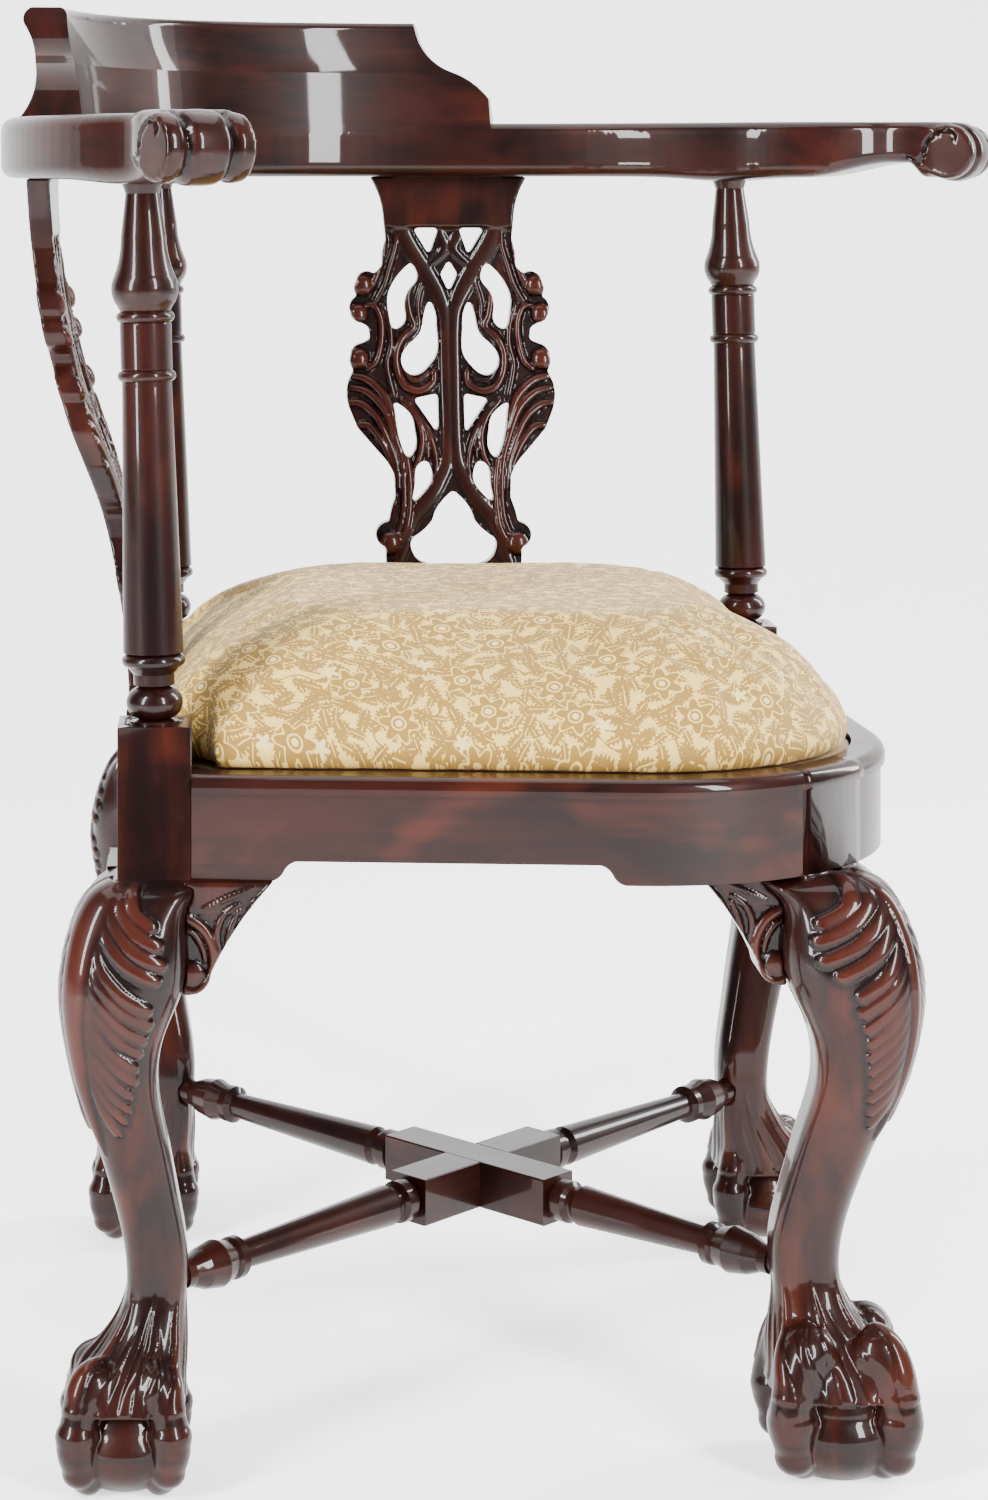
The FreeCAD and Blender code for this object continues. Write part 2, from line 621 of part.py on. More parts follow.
def stretcher(label, near, far, half_lap):
    """A turned bar along its own Z, from -near to far, with its half of the lap."""
    body = new_body(label)
    sketch = new_sketch(body, f"{label}_side", "XZ_Plane")
    block = "(cross_length / 2)"

    def half_bar(end, sign):
        """One turned end, from the block outwards."""
        def at(text):
            return f"({sign} * ({text}))"
        rows = [
            ("stretcher_radius - 4", at(f"{block} - 2")),
            ("stretcher_radius - 4", at(f"{block} + 2")),
            ("stretcher_radius - 1", at(f"{block} + 4")),
            ("stretcher_radius - 1", at(f"{block} + 11")),
            ("stretcher_radius - 4", at(f"{block} + 13")),
            ("stretcher_radius - 4", at(f"{block} + 16")),
            ("stretcher_radius - 1.5", at(f"{block} + 20")),
            ("stretcher_radius - 5.5", at(f"{end} - 46")),
            ("stretcher_radius - 1.5", at(f"{end} - 44")),
            ("stretcher_radius - 1.5", at(f"{end} - 39")),
            ("stretcher_radius - 3", at(f"{end} - 37")),
            ("stretcher_radius", at(f"{end} - 27")),
            ("stretcher_radius - 2", at(f"{end} - 15")),
            ("stretcher_radius - 5.5", at(f"{end} - 6")),
            ("stretcher_radius - 5.5", at(end)),
            ("stretcher_tenon_radius", at(end)),
            ("stretcher_tenon_radius", at(f"{end} + stretcher_tenon_length")),
            ("0", at(f"{end} + stretcher_tenon_length"))]
        return rows

    draw(sketch, list(reversed(half_bar(near, -1))) + half_bar(far, 1))
    revolve(body, sketch)
    section = new_sketch(body, f"{label}_block", "XY_Plane")
    square(section, "cross_width", "1")
    pad(body, section, "cross_length", both_ways=True)
    lap = body.newObject("PartDesign::SubtractiveBox", f"{label}_lap")
    for side, text in (("Length", "cross_width"), ("Width", "2 * cross_width"), ("Height", "cross_width")):
        setattr(lap, side, value(text))
        lap.setExpression(side, bound(text))
    low = "0" if half_lap == "upper" else "-cross_width"
    seat(lap, (low, "-cross_width", "-cross_width / 2"))
    return body


# Arms and crest


def arm():
    """The right arm: half of the bow, then an S-bend out to the scroll. The
    body's origin is the middle of the bow."""
    body = new_body("right_arm_board")
    spine = new_sketch(body, "arm_line", "XY_Plane")
    run_x = f"({DIAGONAL} + arm_run * sin({BOW_HEADING}))"
    run_y = f"(-arm_run * cos({BOW_HEADING}))"
    bend_x = f"({run_x} + flare_radius * (cos({BOW_HEADING}) - cos(flare_angle)))"
    bend_y = f"({run_y} - flare_radius * (sin(flare_angle) - sin({BOW_HEADING})))"
    last = "(flare_angle - return_angle)"
    end_x = f"({bend_x} + return_radius * (cos({last}) - cos(flare_angle)))"
    end_y = f"({bend_y} - return_radius * (sin(flare_angle) - sin({last})))"
    draw(spine, [("0", BOW_BACK), (*BOW_JOIN, "-bow_back_radius"), (DIAGONAL, "0", "-bow_radius"),
                 (run_x, run_y), (bend_x, bend_y, "flare_radius"), (end_x, end_y, "-return_radius")],
         closed=False)
    section = new_sketch(body, "arm_section", "YZ_Plane", (BOW_BACK, "arm_bottom + arm_thickness / 2", "0"))
    half_wide = "(arm_width / 2)"
    half_tall = "(arm_thickness / 2)"
    draw(section, [
        (f"-({half_wide} - arm_edge)", f"-{half_tall}", "arm_edge"),
        (f"{half_wide} - arm_edge", f"-{half_tall}"),
        (half_wide, f"-({half_tall} - arm_edge)", "arm_edge"),
        (half_wide, f"{half_tall} - arm_edge"),
        (f"{half_wide} - arm_edge", half_tall, "arm_edge"),
        (f"-({half_wide} - arm_edge)", half_tall),
        (f"-{half_wide}", f"{half_tall} - arm_edge", "arm_edge"),
        (f"-{half_wide}", f"-({half_tall} - arm_edge)")])
    sweep = body.newObject("PartDesign::AdditivePipe", "arm_sweep")
    sweep.Profile = section
    sweep.Spine = (spine, [f"Edge{number}" for number in range(1, 6)])
    heading = value(last)
    lobes = [("lobe_inner", "-arm_width / 2 - 1", "arm_width * 0.26", "roll_diameter / 2 - 1.5"),
             ("lobe_middle", "-arm_width / 2 + arm_width * 0.26 - 1.5", "arm_width * 0.48 + 3",
              "roll_diameter / 2"),
             ("lobe_outer", "arm_width / 2 - arm_width * 0.26 + 1", "arm_width * 0.26",
              "roll_diameter / 2 - 1.5")]
    for label, start, length, size in lobes:
        lobe = body.newObject("PartDesign::AdditiveCylinder", label)
        lobe.Radius = value(size)
        lobe.setExpression("Radius", bound(size))
        lobe.Height = value(length)
        lobe.setExpression("Height", bound(length))
        turn = Rotation(Vector(0, 0, 1), heading) * Rotation(Vector(0, 1, 0), 90)
        seat(lobe, (f"{end_x} + ({start}) * cos({last})", f"{end_y} + ({start}) * sin({last})",
                    f"{ARM_TOP} - roll_diameter / 2"), turn)
    return body


def crest():
    """The crest rail on the bow. Its inner face is flush with the arms and leans
    out, its outer face is an ogee with a roll, and its ends sweep down."""
    body = new_body("crest_board")
    spine = new_sketch(body, "crest_line", "XY_Plane")
    end = (f"(bow_radius * sin(crest_half_angle) - {BOW_OFFSET})",
           f"(bow_radius * cos(crest_half_angle) - {BOW_OFFSET})")
    draw(spine, [("0", BOW_BACK), (*BOW_JOIN, "-bow_back_radius"), (*end, "-bow_radius")], closed=False)
    section = new_sketch(body, "crest_section", "YZ_Plane", (BOW_BACK, "0", "0"))
    inner = "(-arm_width / 2)"
    top = f"({ARM_TOP} + crest_height)"
    middle = f"({ARM_TOP} + crest_height * 0.5)"
    waist = f"({inner} + crest_lean * 0.45 + crest_waist)"
    draw(section, [
        (inner, f"{ARM_TOP} - arm_edge"),
        (f"{inner} + crest_foot", f"{ARM_TOP} - arm_edge"),
        (f"{inner} + crest_foot", ARM_TOP),
        (waist, middle, "-crest_height * 0.62"),
        (f"{waist} + crest_roll", f"{top} - crest_height * 0.16", "-crest_height * 0.7"),
        (f"{waist} + crest_roll - 4", top, "crest_height * 0.11"),
        (f"{inner} + crest_lean + 4", top),
        (f"{inner} + crest_lean", f"{top} - 6", "6"),
        (f"{inner} + crest_lean * 0.45", middle, "-crest_height * 1.6")])
    board = body.newObject("PartDesign::AdditivePipe", "crest_sweep")
    board.Profile = section
    board.Spine = (spine, ["Edge1", "Edge2"])
    run = "(bow_radius * sin(crest_end_run))"
    rise = new_sketch(body, "crest_end", "XZ_Plane", (f"-{BOW_OFFSET}", "0", BOW_OFFSET),
                      Rotation(Vector(0, 1, 0), -value("crest_half_angle")))
    draw(rise, [
        (run, f"{ARM_TOP} - arm_edge - 1"),
        (run, f"{top} + 2"),
        (f"-{run} * 1.1", f"{top} + 2"),
        (f"-{run} * 1.05", f"{top} - 8"),
        (f"-{run} * 0.6", f"{ARM_TOP} + crest_height * 0.52", "crest_height * 0.55"),
        (f"-{run} * 0.08", f"{ARM_TOP} + crest_height * 0.24", "-crest_height * 0.8"),
        ("-2", f"{ARM_TOP} - arm_edge - 1")])
    ending = cut_through(body, rise)
    halves = body.newObject("PartDesign::Mirrored", "crest_halves")
    halves.Originals = [board, ending]
    halves.MirrorPlane = (next(item for item in body.Origin.OriginFeatures if item.Role == "YZ_Plane"), [""])
    body.Tip = halves
    return body


# Splats


def solid(label, shape):
    """A piece whose shape is worked out below."""
    piece = doc.addObject("Part::Feature", label)
    piece.Shape = shape
    piece.Label = label
    return piece


def closed_wire(points):
    """A closed wire through (x, y, radius) corners; a missing radius is straight."""
    edges = []
    for index, start in enumerate(points):
        end = points[(index + 1) % len(points)]
        a = Vector(start[0], start[1], 0)
        b = Vector(end[0], end[1], 0)
        if len(end) == 2:
            edges.append(Part.LineSegment(a, b).toShape())
        else:
            edges.append(Part.Arc(a, arc_middle(a, b, end[2]), b).toShape())
    return Part.Wire(edges)


def smooth_hole(points):
    """A hole with a smooth edge through its points."""
    curve = Part.BSplineCurve()
    curve.interpolate([Vector(x, y, 0) for x, y in points], PeriodicFlag=True)
    return Part.Wire([curve.toShape()])


# One side of the splat's pattern, from its middle line and from the underside of
# the arm down; it is stretched to the splat's width and height
SPLAT_EDGE = [
    (0, 0), (55, 0), (46, -24, -60), (44, -44), (46.5, -62, 40), (52, -68), (57, -66, 8), (65, -74, 8),
    (63.5, -83, 6), (69, -95, 9), (61, -102, 8), (56, -105), (55, -113, 20), (62, -116),
    (69, -124, 8), (67, -134, 9), (71, -142), (70, -161, 30), (65, -173), (50, -190),
    (40, -205, -40), (39.5, -220), (44, -236, 50), (53, -243, 9), (46.5, -253, 9),
    (46, -270), (50, -318), (0, -318)]
MIDDLE_DIAMOND = [(0, -58), (6, -68), (0, -81)]
KEYHOLE = [(0, -215), (12.6, -229, 40), (14.5, -235), (28, -246.5, -40), (28.5, -255, 9),
           (18.4, -264, 12), (14.5, -273, -10), (0, -281, 16)]
TOP_WINDOW = [(7, -36), (25, -36), (13.6, -55)]
STEM_WINDOW = [(9, -150), (26, -153.5), (9, -178)]
UPPER_WINDOW = [(28, -61), (38, -72), (43, -84), (42, -97), (38.5, -106), (31, -101), (31, -92),
                (27, -78), (22, -70)]
INNER_WINDOW = [(14.5, -87), (18, -97), (21, -109), (30, -118), (34, -128), (28, -137), (22, -137),
                (14.5, -131), (9.5, -124), (9, -104), (10.5, -92)]
LEAF_WINDOW = [(40, -157), (37.5, -173), (34, -187), (30, -193), (25.5, -188), (25.5, -174), (30, -162)]
LOWER_WINDOW = [(20.5, -195.5), (25, -200), (26, -211), (27.5, -223), (18.5, -215), (14, -204)]


def both_sides(points):
    """The whole outline from one side's points, which start and end on the middle line."""
    back = []
    arriving = []
    for x, y, *radius in reversed(points):
        back.append((-x, y, *arriving))
        arriving = radius
    return points[1:] + back[1:]


def splat_pattern(width, height):
    """The splat's outline with its windows, flat, the middle line on X = 0 and
    the underside of the arm on Y = 0. A radius in the lists swells outwards."""
    across = width / 2 / max(x for x, *_ in SPLAT_EDGE)
    down = height / max(-y for _, y, *_ in SPLAT_EDGE)

    def drawn(points, side=1):
        return [(side * x * across, y * down, *[-swell * across for swell in radius])
                for x, y, *radius in points]

    holes = [Part.Face(closed_wire(drawn(both_sides(window)))) for window in (MIDDLE_DIAMOND, KEYHOLE)]
    for side in (1, -1):
        holes += [Part.Face(closed_wire(drawn(window, side))) for window in (TOP_WINDOW, STEM_WINDOW)]
        holes += [Part.Face(smooth_hole(drawn(window, side)))
                  for window in (UPPER_WINDOW, INNER_WINDOW, LEAF_WINDOW, LOWER_WINDOW)]
    return Part.Face(closed_wire(drawn(both_sides(SPLAT_EDGE)))).cut(holes)


def splat():
    """A pierced board with an ogee side, cut to the pattern. Its tongues go into
    the shoe below and the arm above."""
    depth = value("splat_tenon")
    foot = value(SHOE_TOP) - depth
    head = value("arm_bottom") + depth
    thick = value("splat_thickness")
    lean = value("splat_lean")
    middle = (foot + head) / 2
    rise = (head - foot) / 2
    bend = (rise * rise + (lean / 2) ** 2) / lean
    near = value(SPLAT_LINE) - thick / 2
    far = near + thick
    wide = value("splat_width")
    # Side view: distance from the seat's middle, and height
    side = Part.Face(closed_wire([
        (near, foot, bend), (far, foot), (far + lean / 2, middle, -bend), (far + lean, head, bend),
        (near + lean, head), (near + lean / 2, middle, -bend)]))
    side.Placement = Placement(Vector(-wide, 0, 0),
                               Rotation(Vector(0, 1, 0), Vector(0, 0, 1), Vector(1, 0, 0), "XYZ"))
    board = side.extrude(Vector(2 * wide, 0, 0))
    tall = value("arm_bottom") - value(SHOE_TOP)
    tongue = value("splat_tongue")
    plate = splat_pattern(wide, tall)
    plate.Placement = Placement(Vector(0, far + 2 * lean, value("arm_bottom")),
                                Rotation(Vector(1, 0, 0), Vector(0, 0, 1), Vector(0, -1, 0), "XYZ"))
    through = Vector(0, -3 * lean - 2 * thick, 0)
    prism = plate.extrude(through)
    for low in (foot, head - depth - 1):
        prism = prism.fuse(Part.makeBox(tongue, -through.y, depth + 1,
                                        Vector(-tongue / 2, far + 2 * lean + through.y, low)))
    return board.common(prism).removeSplitter()


def shoe():
    """The moulded shoe that stands on a back rail, along X, out along Y."""
    body = new_body("shoe_block")
    sketch = new_sketch(body, "shoe_side", "YZ_Plane", (SPLAT_LINE, "0", "0"))
    half = "(lip_width / 2)"
    draw(sketch, [
        (f"-{half}", "rail_top"), (half, "rail_top"), (half, "rail_top + shoe_height * 0.45"),
        (f"{half} - shoe_height * 0.1", SHOE_TOP, "shoe_height"),
        (f"-({half} - shoe_height * 0.1)", SHOE_TOP),
        (f"-{half}", "rail_top + shoe_height * 0.45", "shoe_height")])
    pad(body, sketch, "shoe_length", both_ways=True)
    return body


# Slip seat


def to_chair(x, y, z):
    """From the square of the rails to the chair's own axes."""
    return Vector((x + y) / math.sqrt(2), (y - x) / math.sqrt(2) + value(SEAT_Y), z)


def seat_outline(inset, notch, corner, height, waist=0.0):
    """The seat's plan, an inset in from the outer faces. Each post's corner is cut
    back by a notch along both edges, through a point at the given corner depth.
    Waist is how far the straight edges pull in."""
    splay = math.radians(value("front_splay"))
    face = value(OUTER_FACE) - inset
    bend = value("front_radius") - inset
    centre = value(CORNER_CENTRE) / math.sqrt(2)
    # Near edge: the point where it ends at the round corner, and its direction
    end = Vector(centre - math.sin(splay) * bend, -centre - math.cos(splay) * bend)
    along = Vector(math.cos(splay), -math.sin(splay))
    left = end - along * ((end.x + face) / along.x)
    back = Vector(-face, face)
    right = Vector(-left.y, -left.x)
    other_end = Vector(-end.y, -end.x)

    def corner_cut(point, first, second):
        """Start, middle and end of the cut at a corner."""
        return [point + first * notch, point + (first + second) * corner, point + second * notch]

    cuts = [corner_cut(left, Vector(0, 1), along),
            corner_cut(right, Vector(-along.y, -along.x), Vector(-1, 0)),
            corner_cut(back, Vector(1, 0), Vector(0, -1))]
    middle = Vector(centre + bend / math.sqrt(2), -centre - bend / math.sqrt(2))

    def arc(a, b, c):
        return Part.Arc(*[to_chair(p.x, p.y, height) for p in (a, b, c)]).toShape()

    def edge(a, b):
        """A side that pulls in by the waist between its ends."""
        if not waist:
            return Part.LineSegment(to_chair(a.x, a.y, height), to_chair(b.x, b.y, height)).toShape()
        inwards = Vector(-(b - a).y, (b - a).x).normalize()
        return arc(a, (a + b) * 0.5 + inwards * waist, b)

    near, far, rear = cuts
    return Part.Wire([
        arc(*near), edge(near[2], end), arc(end, middle, other_end), edge(other_end, far[0]),
        arc(*far), edge(far[2], rear[0]), arc(*rear), edge(rear[2], near[0])])


SEAT_INSET = "(lip_width + seat_clearance)"
BOARD_TOP = f"({LEDGE} + seat_board_thickness)"
# Depth of the notch that keeps the seat off a post, at an inset
NOTCH_DEPTH = f"({INNER_FACE} - notch_clearance)"


def notched(inset, height, waist=0.0):
    """The seat's plan at an inset, notched for the posts."""
    depth = value(OUTER_FACE) - inset - value(NOTCH_DEPTH)
    return seat_outline(inset, depth * 1.25, depth, height, waist)


def seat_boards():
    """The four boards of the slip seat frame, mitred at the corners."""
    outer = Part.Face(notched(value(SEAT_INSET), value(LEDGE)))
    inset = value(SEAT_INSET) + value("seat_board_width")
    inner = Part.Face(seat_outline(inset, value("seat_board_width") * 0.4,
                                   value("seat_board_width") * 0.14, value(LEDGE)))
    ring_shape = outer.cut(inner).extrude(Vector(0, 0, value("seat_board_thickness")))
    reach = value("post_spacing")
    middle = value(SEAT_Y)
    boards = []
    for name, x, y in (("back_left", -reach, middle), ("back_right", 0, middle),
                       ("front_left", -reach, middle - reach), ("front_right", 0, middle - reach)):
        quarter = Part.makeBox(reach, reach, reach, Vector(x, y, value(LEDGE) - reach / 2))
        boards.append(solid(f"seat_board_{name}", ring_shape.common(quarter)))
    return boards


def cushion():
    """The stuffed top: sides that bulge over the frame, corners drawn in at the
    posts and a soft crown."""
    base = value(BOARD_TOP) + 2 * value("webbing_thickness") + 0.3
    crown = value("crown_height")
    inset = value(SEAT_INSET)
    rise = crown - base
    tight = value(OUTER_FACE) - inset - value(NOTCH_DEPTH)
    # Height share, drawn in, notch along the edges and its depth
    levels = [(0, 2, 1.25, 1.0), (0.2, 1, 1.28, 0.98), (0.46, 7, 1.42, 0.88), (0.69, 18, 1.65, 0.72),
              (0.85, 34, 1.85, 0.62), (0.93, 52, 1.95, 0.6), (0.975, 73, 2.0, 0.6), (1.0, 95, 2.0, 0.6)]
    wires = [seat_outline(inset + drawn_in, tight * along, tight * depth, base + share * rise, 2.0)
             for share, drawn_in, along, depth in levels]
    return solid("seat_cushion", Part.makeLoft(wires, True, False))


def webbing():
    """Strips of webbing tacked across the frame, three over three."""
    strips = []
    span = value(f"2 * ({OUTER_FACE} - {SEAT_INSET} - 12)")
    wide = value("webbing_width")
    thick = value("webbing_thickness")
    for layer in (0, 1):
        for step in (-1, 0, 1):
            place_at = step * value("webbing_pitch") - wide / 2
            corner = Vector(-span / 2, place_at, 0)
            strip = Part.makeBox(span, wide, thick, corner)
            strip.rotate(Vector(), Vector(0, 0, 1), 90 * layer - 45)
            strip.translate(Vector(0, value(SEAT_Y), value(BOARD_TOP) + layer * thick))
            strips.append(strip)
    return solid("webbing", Part.makeCompound(strips))


def dust_cover():
    """The thin cloth tacked under the slip seat frame, clear of the front leg's block."""
    inset = value("front_block_depth + 2 * seat_clearance")
    thick = value("cloth_thickness")
    clipped = value("seat_board_width") * 0.2
    outline = seat_outline(inset, clipped, clipped * 0.35, value(LEDGE) - thick)
    return solid("dust_cover", Part.Face(outline).extrude(Vector(0, 0, thick)))


# Corner blocks and screws

BLOCK_TOP = f"({LEDGE} - 2 * cloth_thickness)"
BLOCK_FOOT = f"({BLOCK_TOP} - corner_block_height)"
# The corner between the inner faces of two rails, from the middle of the seat
RAIL_CORNER = f"(({INNER_FACE} + post_width - rail_thickness) * sqrt(2))"


def corner_block():
    """A triangular glue block in the corner of two rails, pointing along -Y."""
    body = new_body("glue_block")
    sketch = new_sketch(body, "glue_block_plan", "XY_Plane", ("0", "0", BLOCK_FOOT))
    run = "(corner_block_size / sqrt(2))"
    level = f"-{RAIL_CORNER} + {run}"
    draw(sketch, [("0", f"-{RAIL_CORNER}"), (run, level), (f"-{run}", level)])
    pad(body, sketch, "corner_block_height")
    return body


def front_corner_block():
    """The glue block behind the front leg, rounded to the rails."""
    body = new_body("front_glue_block")
    sketch = new_sketch(body, "front_glue_plan", "XY_Plane", ("0", "0", BLOCK_FOOT))
    inner = "(front_radius - rail_thickness)"
    half = f"({inner} * sin(40))"
    level = f"(-{inner} * cos(40))"
    draw(sketch, [(f"-{half}", level), (half, level, inner)])
    pad(body, sketch, "corner_block_height")
    return body


def screw(length, diameter, head):
    """A countersunk screw pointing up, its head's face at the origin."""
    shank = Part.makeCylinder(diameter / 2, length)
    return shank.fuse(Part.makeCone(head / 2, diameter / 2, (head - diameter) / 2))


def corner_screws():
    """Two screws through each corner block into the leg behind it."""
    length, wide, head = (value(name) for name in ("screw_length", "screw_diameter", "screw_head_diameter"))
    block_middle = value(f"{BLOCK_TOP} - corner_block_height / 2")
    flat = value(f"{RAIL_CORNER} - corner_block_size / sqrt(2)")
    front_flat = value(f"{CORNER_CENTRE} + (front_radius - rail_thickness) * cos(40)")
    screws = []
    for turn, reach in ((-90, flat), (90, flat), (180, flat), (0, front_flat)):
        for side in (-1, 1):
            piece = screw(length, wide, head)
            piece.rotate(Vector(), Vector(1, 0, 0), 90)
            piece.translate(Vector(0, -reach, block_middle + side * value("screw_gap") / 2))
            piece.rotate(Vector(), Vector(0, 0, 1), turn)
            piece.translate(Vector(0, value(SEAT_Y), 0))
            screws.append(piece)
    return solid("corner_block_screws", Part.makeCompound(screws))


def crest_screws():
    """Screws up through the arms into the crest rail."""
    offset_by = value(BOW_OFFSET)
    radius = value("bow_radius - arm_width / 2 + crest_lean * 0.45 + crest_waist / 2")
    screws = []
    for angle in (19, 33):
        turn = math.radians(angle)
        for side in (-1, 1):
            piece = screw(value("crest_screw_length"), value("screw_diameter"), value("screw_head_diameter"))
            piece.translate(Vector(side * (radius * math.sin(turn) - offset_by),
                                   radius * math.cos(turn) - offset_by + value(f"{SEAT_Y} + {BOW_SHIFT}"),
                                   value("arm_bottom")))
            screws.append(piece)
    return solid("crest_screws", Part.makeCompound(screws))


# The chair put together

# Turn of each post's leg, which starts with its knee towards -Y
POSTS = {"left": -90, "right": 90, "back": 180}
POST_PLACES = {"left": (f"-{DIAGONAL}", SEAT_Y), "right": (DIAGONAL, SEAT_Y),
               "back": ("0", f"({SEAT_Y} + {DIAGONAL})")}
FOOT_PLACES = {"left": (f"-({DIAGONAL} + foot_reach)", SEAT_Y),
               "right": (f"({DIAGONAL} + foot_reach)", SEAT_Y),
               "back": ("0", f"({SEAT_Y} + {DIAGONAL} + foot_reach)")}
FRONT_FOOT = ("0", f"({SEAT_Y} - {FRONT_AXIS} - front_foot_reach)")

# Rails
straight_rail = back_rail()
back_left_rail = clone("back_left_rail", straight_rail, *POST_PLACES["left"], "0", 45)
back_right_rail = clone("back_right_rail", straight_rail, *POST_PLACES["back"], "0", -45)
front_right_rail = clone("front_right_rail", front_rail(), *POST_PLACES["right"], "0", 225)
front_left_rail = mirrored("front_left_rail", front_right_rail)

# Columns and stretchers
columns = {}
for side, (x, y) in POST_PLACES.items():
    columns[side] = column() if side == "left" else clone(f"{side}_column", columns["left"])
    stand(columns[side], x, y)
columns["left"].Label = "left_column"
SHOULDER = "(ankle_width / 2 * sqrt(2) * 0.78)"
FRONT_SHOULDER = "(front_ankle_width / 2 * sqrt(2) * 0.78)"
side_end = f"({DIAGONAL} - 0.07 * knee_reach - {SHOULDER})"
front_end = f"({FRONT_AXIS} - 0.07 * front_knee_reach - {FRONT_SHOULDER})"
side_bar = stretcher("side_stretcher", side_end, side_end, "upper")
long_bar = stretcher("front_back_stretcher", front_end, side_end, "lower")
for bar, heading in ((side_bar, Vector(1, 0, 0)), (long_bar, Vector(0, 1, 0))):
    place(bar, "0", SEAT_Y, "stretcher_height")
    upright = Vector(0, 0, 1)
    turn = Rotation(upright, heading.cross(upright), heading, "XYZ")
    bar.Placement = Placement(bar.Placement.Base, turn)

# Splats, arms and crest
splat_shape = splat()
splats = {}
shoe_block = shoe()
shoes = {}
for side, turn in (("left", 45), ("right", -45)):
    splats[side] = solid(f"{side}_splat", splat_shape)
    place(splats[side], "0", SEAT_Y, "0", turn)
    block = clone(f"{side}_shoe_block", shoe_block, "0", SEAT_Y, "0", turn)
    shoes[side] = fitted(f"{side}_splat_shoe", block, [splats[side]])
bow_y = f"({SEAT_Y} + {BOW_SHIFT})"
arm_board = clone("arm_board", arm(), "0", bow_y)
crest_board = crest()
place(crest_board, "0", bow_y)
top_screws = crest_screws()
fitted("right_arm", arm_board, [columns["right"], columns["back"], splats["right"], top_screws])
left_arm_board = mirrored("left_arm_board", arm_board)
fitted("left_arm", left_arm_board,
       [columns["left"], columns["back"], splats["left"], top_screws])
fitted("crest_rail", crest_board, [arm_board, left_arm_board, top_screws])

# Legs, knee blocks and glue blocks
block_screws = corner_screws()
side_leg = post_leg()
front_leg_body = corner_leg()
ear = knee_block()
place(ear, "0", "foot_reach", "0", 135)
side_ear = fitted("side_knee_block", ear, [side_leg])
front_ear_body = clone("front_ear", ear, "0", "front_foot_reach", "0", 135)
front_ear = fitted("front_knee_block", front_ear_body, [front_leg_body])
glue_block = corner_block()
beds = {
    "left": [back_left_rail, front_left_rail, columns["left"], side_bar],
    "right": [back_right_rail, front_right_rail, columns["right"], side_bar],
    "back": [back_left_rail, back_right_rail, columns["back"], long_bar]}
for side, turn in POSTS.items():
    x, y = FOOT_PLACES[side]
    body = clone(f"{side}_leg_body", side_leg, x, y, "0", turn)
    fitted(f"{side}_leg", body, beds[side] + [block_screws])
    block = clone(f"{side}_glue_block", glue_block, "0", SEAT_Y, "0", turn)
    fitted(f"{side}_corner_block", block, [body, block_screws])
front_body = clone("front_leg_placed", front_leg_body, *FRONT_FOOT)
fitted("front_leg", front_body, [front_left_rail, front_right_rail, long_bar, block_screws])
front_glue = front_corner_block()
place(front_glue, "0", f"({SEAT_Y} - {CORNER_CENTRE})")
fitted("front_corner_block", front_glue, [front_body, block_screws])

# The two knee blocks of each leg
right_hand = {side: clone(f"{side}_ear_placed", side_ear, *FOOT_PLACES[side], "0", turn)
              for side, turn in POSTS.items()}
right_hand["front"] = clone("front_ear_placed", front_ear, *FRONT_FOOT)
OPPOSITE = {"left": "right", "right": "left", "back": "back", "front": "front"}
# Where each knee block's own rail leads, and its mirror image's
TOWARDS = {"left": "back", "right": "front", "back": "right", "front": "left"}
MIRROR_TOWARDS = {"right": "back", "left": "front", "back": "left", "front": "right"}
for side, piece in right_hand.items():
    piece.Label = f"{side}_knee_block_{TOWARDS[side]}"
    other = OPPOSITE[side]
    mirrored(f"{other}_knee_block_{MIRROR_TOWARDS[other]}", piece)

# Slip seat
seat_boards()
webbing()
cushion()
dust_cover()

# Check and write out

NODES = [
    "left_leg", "right_leg", "back_leg", "front_leg",
    "left_knee_block_back", "left_knee_block_front", "right_knee_block_back", "right_knee_block_front",
    "back_knee_block_left", "back_knee_block_right", "front_knee_block_left", "front_knee_block_right",
    "back_left_rail", "back_right_rail", "front_left_rail", "front_right_rail",
    "left_column", "right_column", "back_column",
    "left_splat", "right_splat", "left_splat_shoe", "right_splat_shoe",
    "left_arm", "right_arm", "crest_rail", "side_stretcher", "front_back_stretcher",
    "left_corner_block", "right_corner_block", "back_corner_block", "front_corner_block",
    "corner_block_screws", "crest_screws",
    "seat_board_back_left", "seat_board_back_right", "seat_board_front_left", "seat_board_front_right",
    "webbing", "seat_cushion", "dust_cover"]

doc.recompute()
failed = [item.Label for item in doc.Objects if {"Invalid", "Error"} & set(item.State)]
if failed:
    raise SystemExit(f"Failed: {failed}")

os.makedirs("parts", exist_ok=True)
for node in NODES:
    piece = doc.getObjectsByLabel(node)[0]
    if piece.Shape.isNull() or not piece.Shape.isValid():
        raise SystemExit(f"{node} has no sound shape")
    piece.Shape.exportStep(f"parts/{node}.step")
    print(f"{node}: {len(piece.Shape.Solids)} solid, {piece.Shape.Volume / 1000:.1f} cm3")
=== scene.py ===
import bpy
import bmesh
import math
import numpy as np
from mathutils import Matrix, Vector


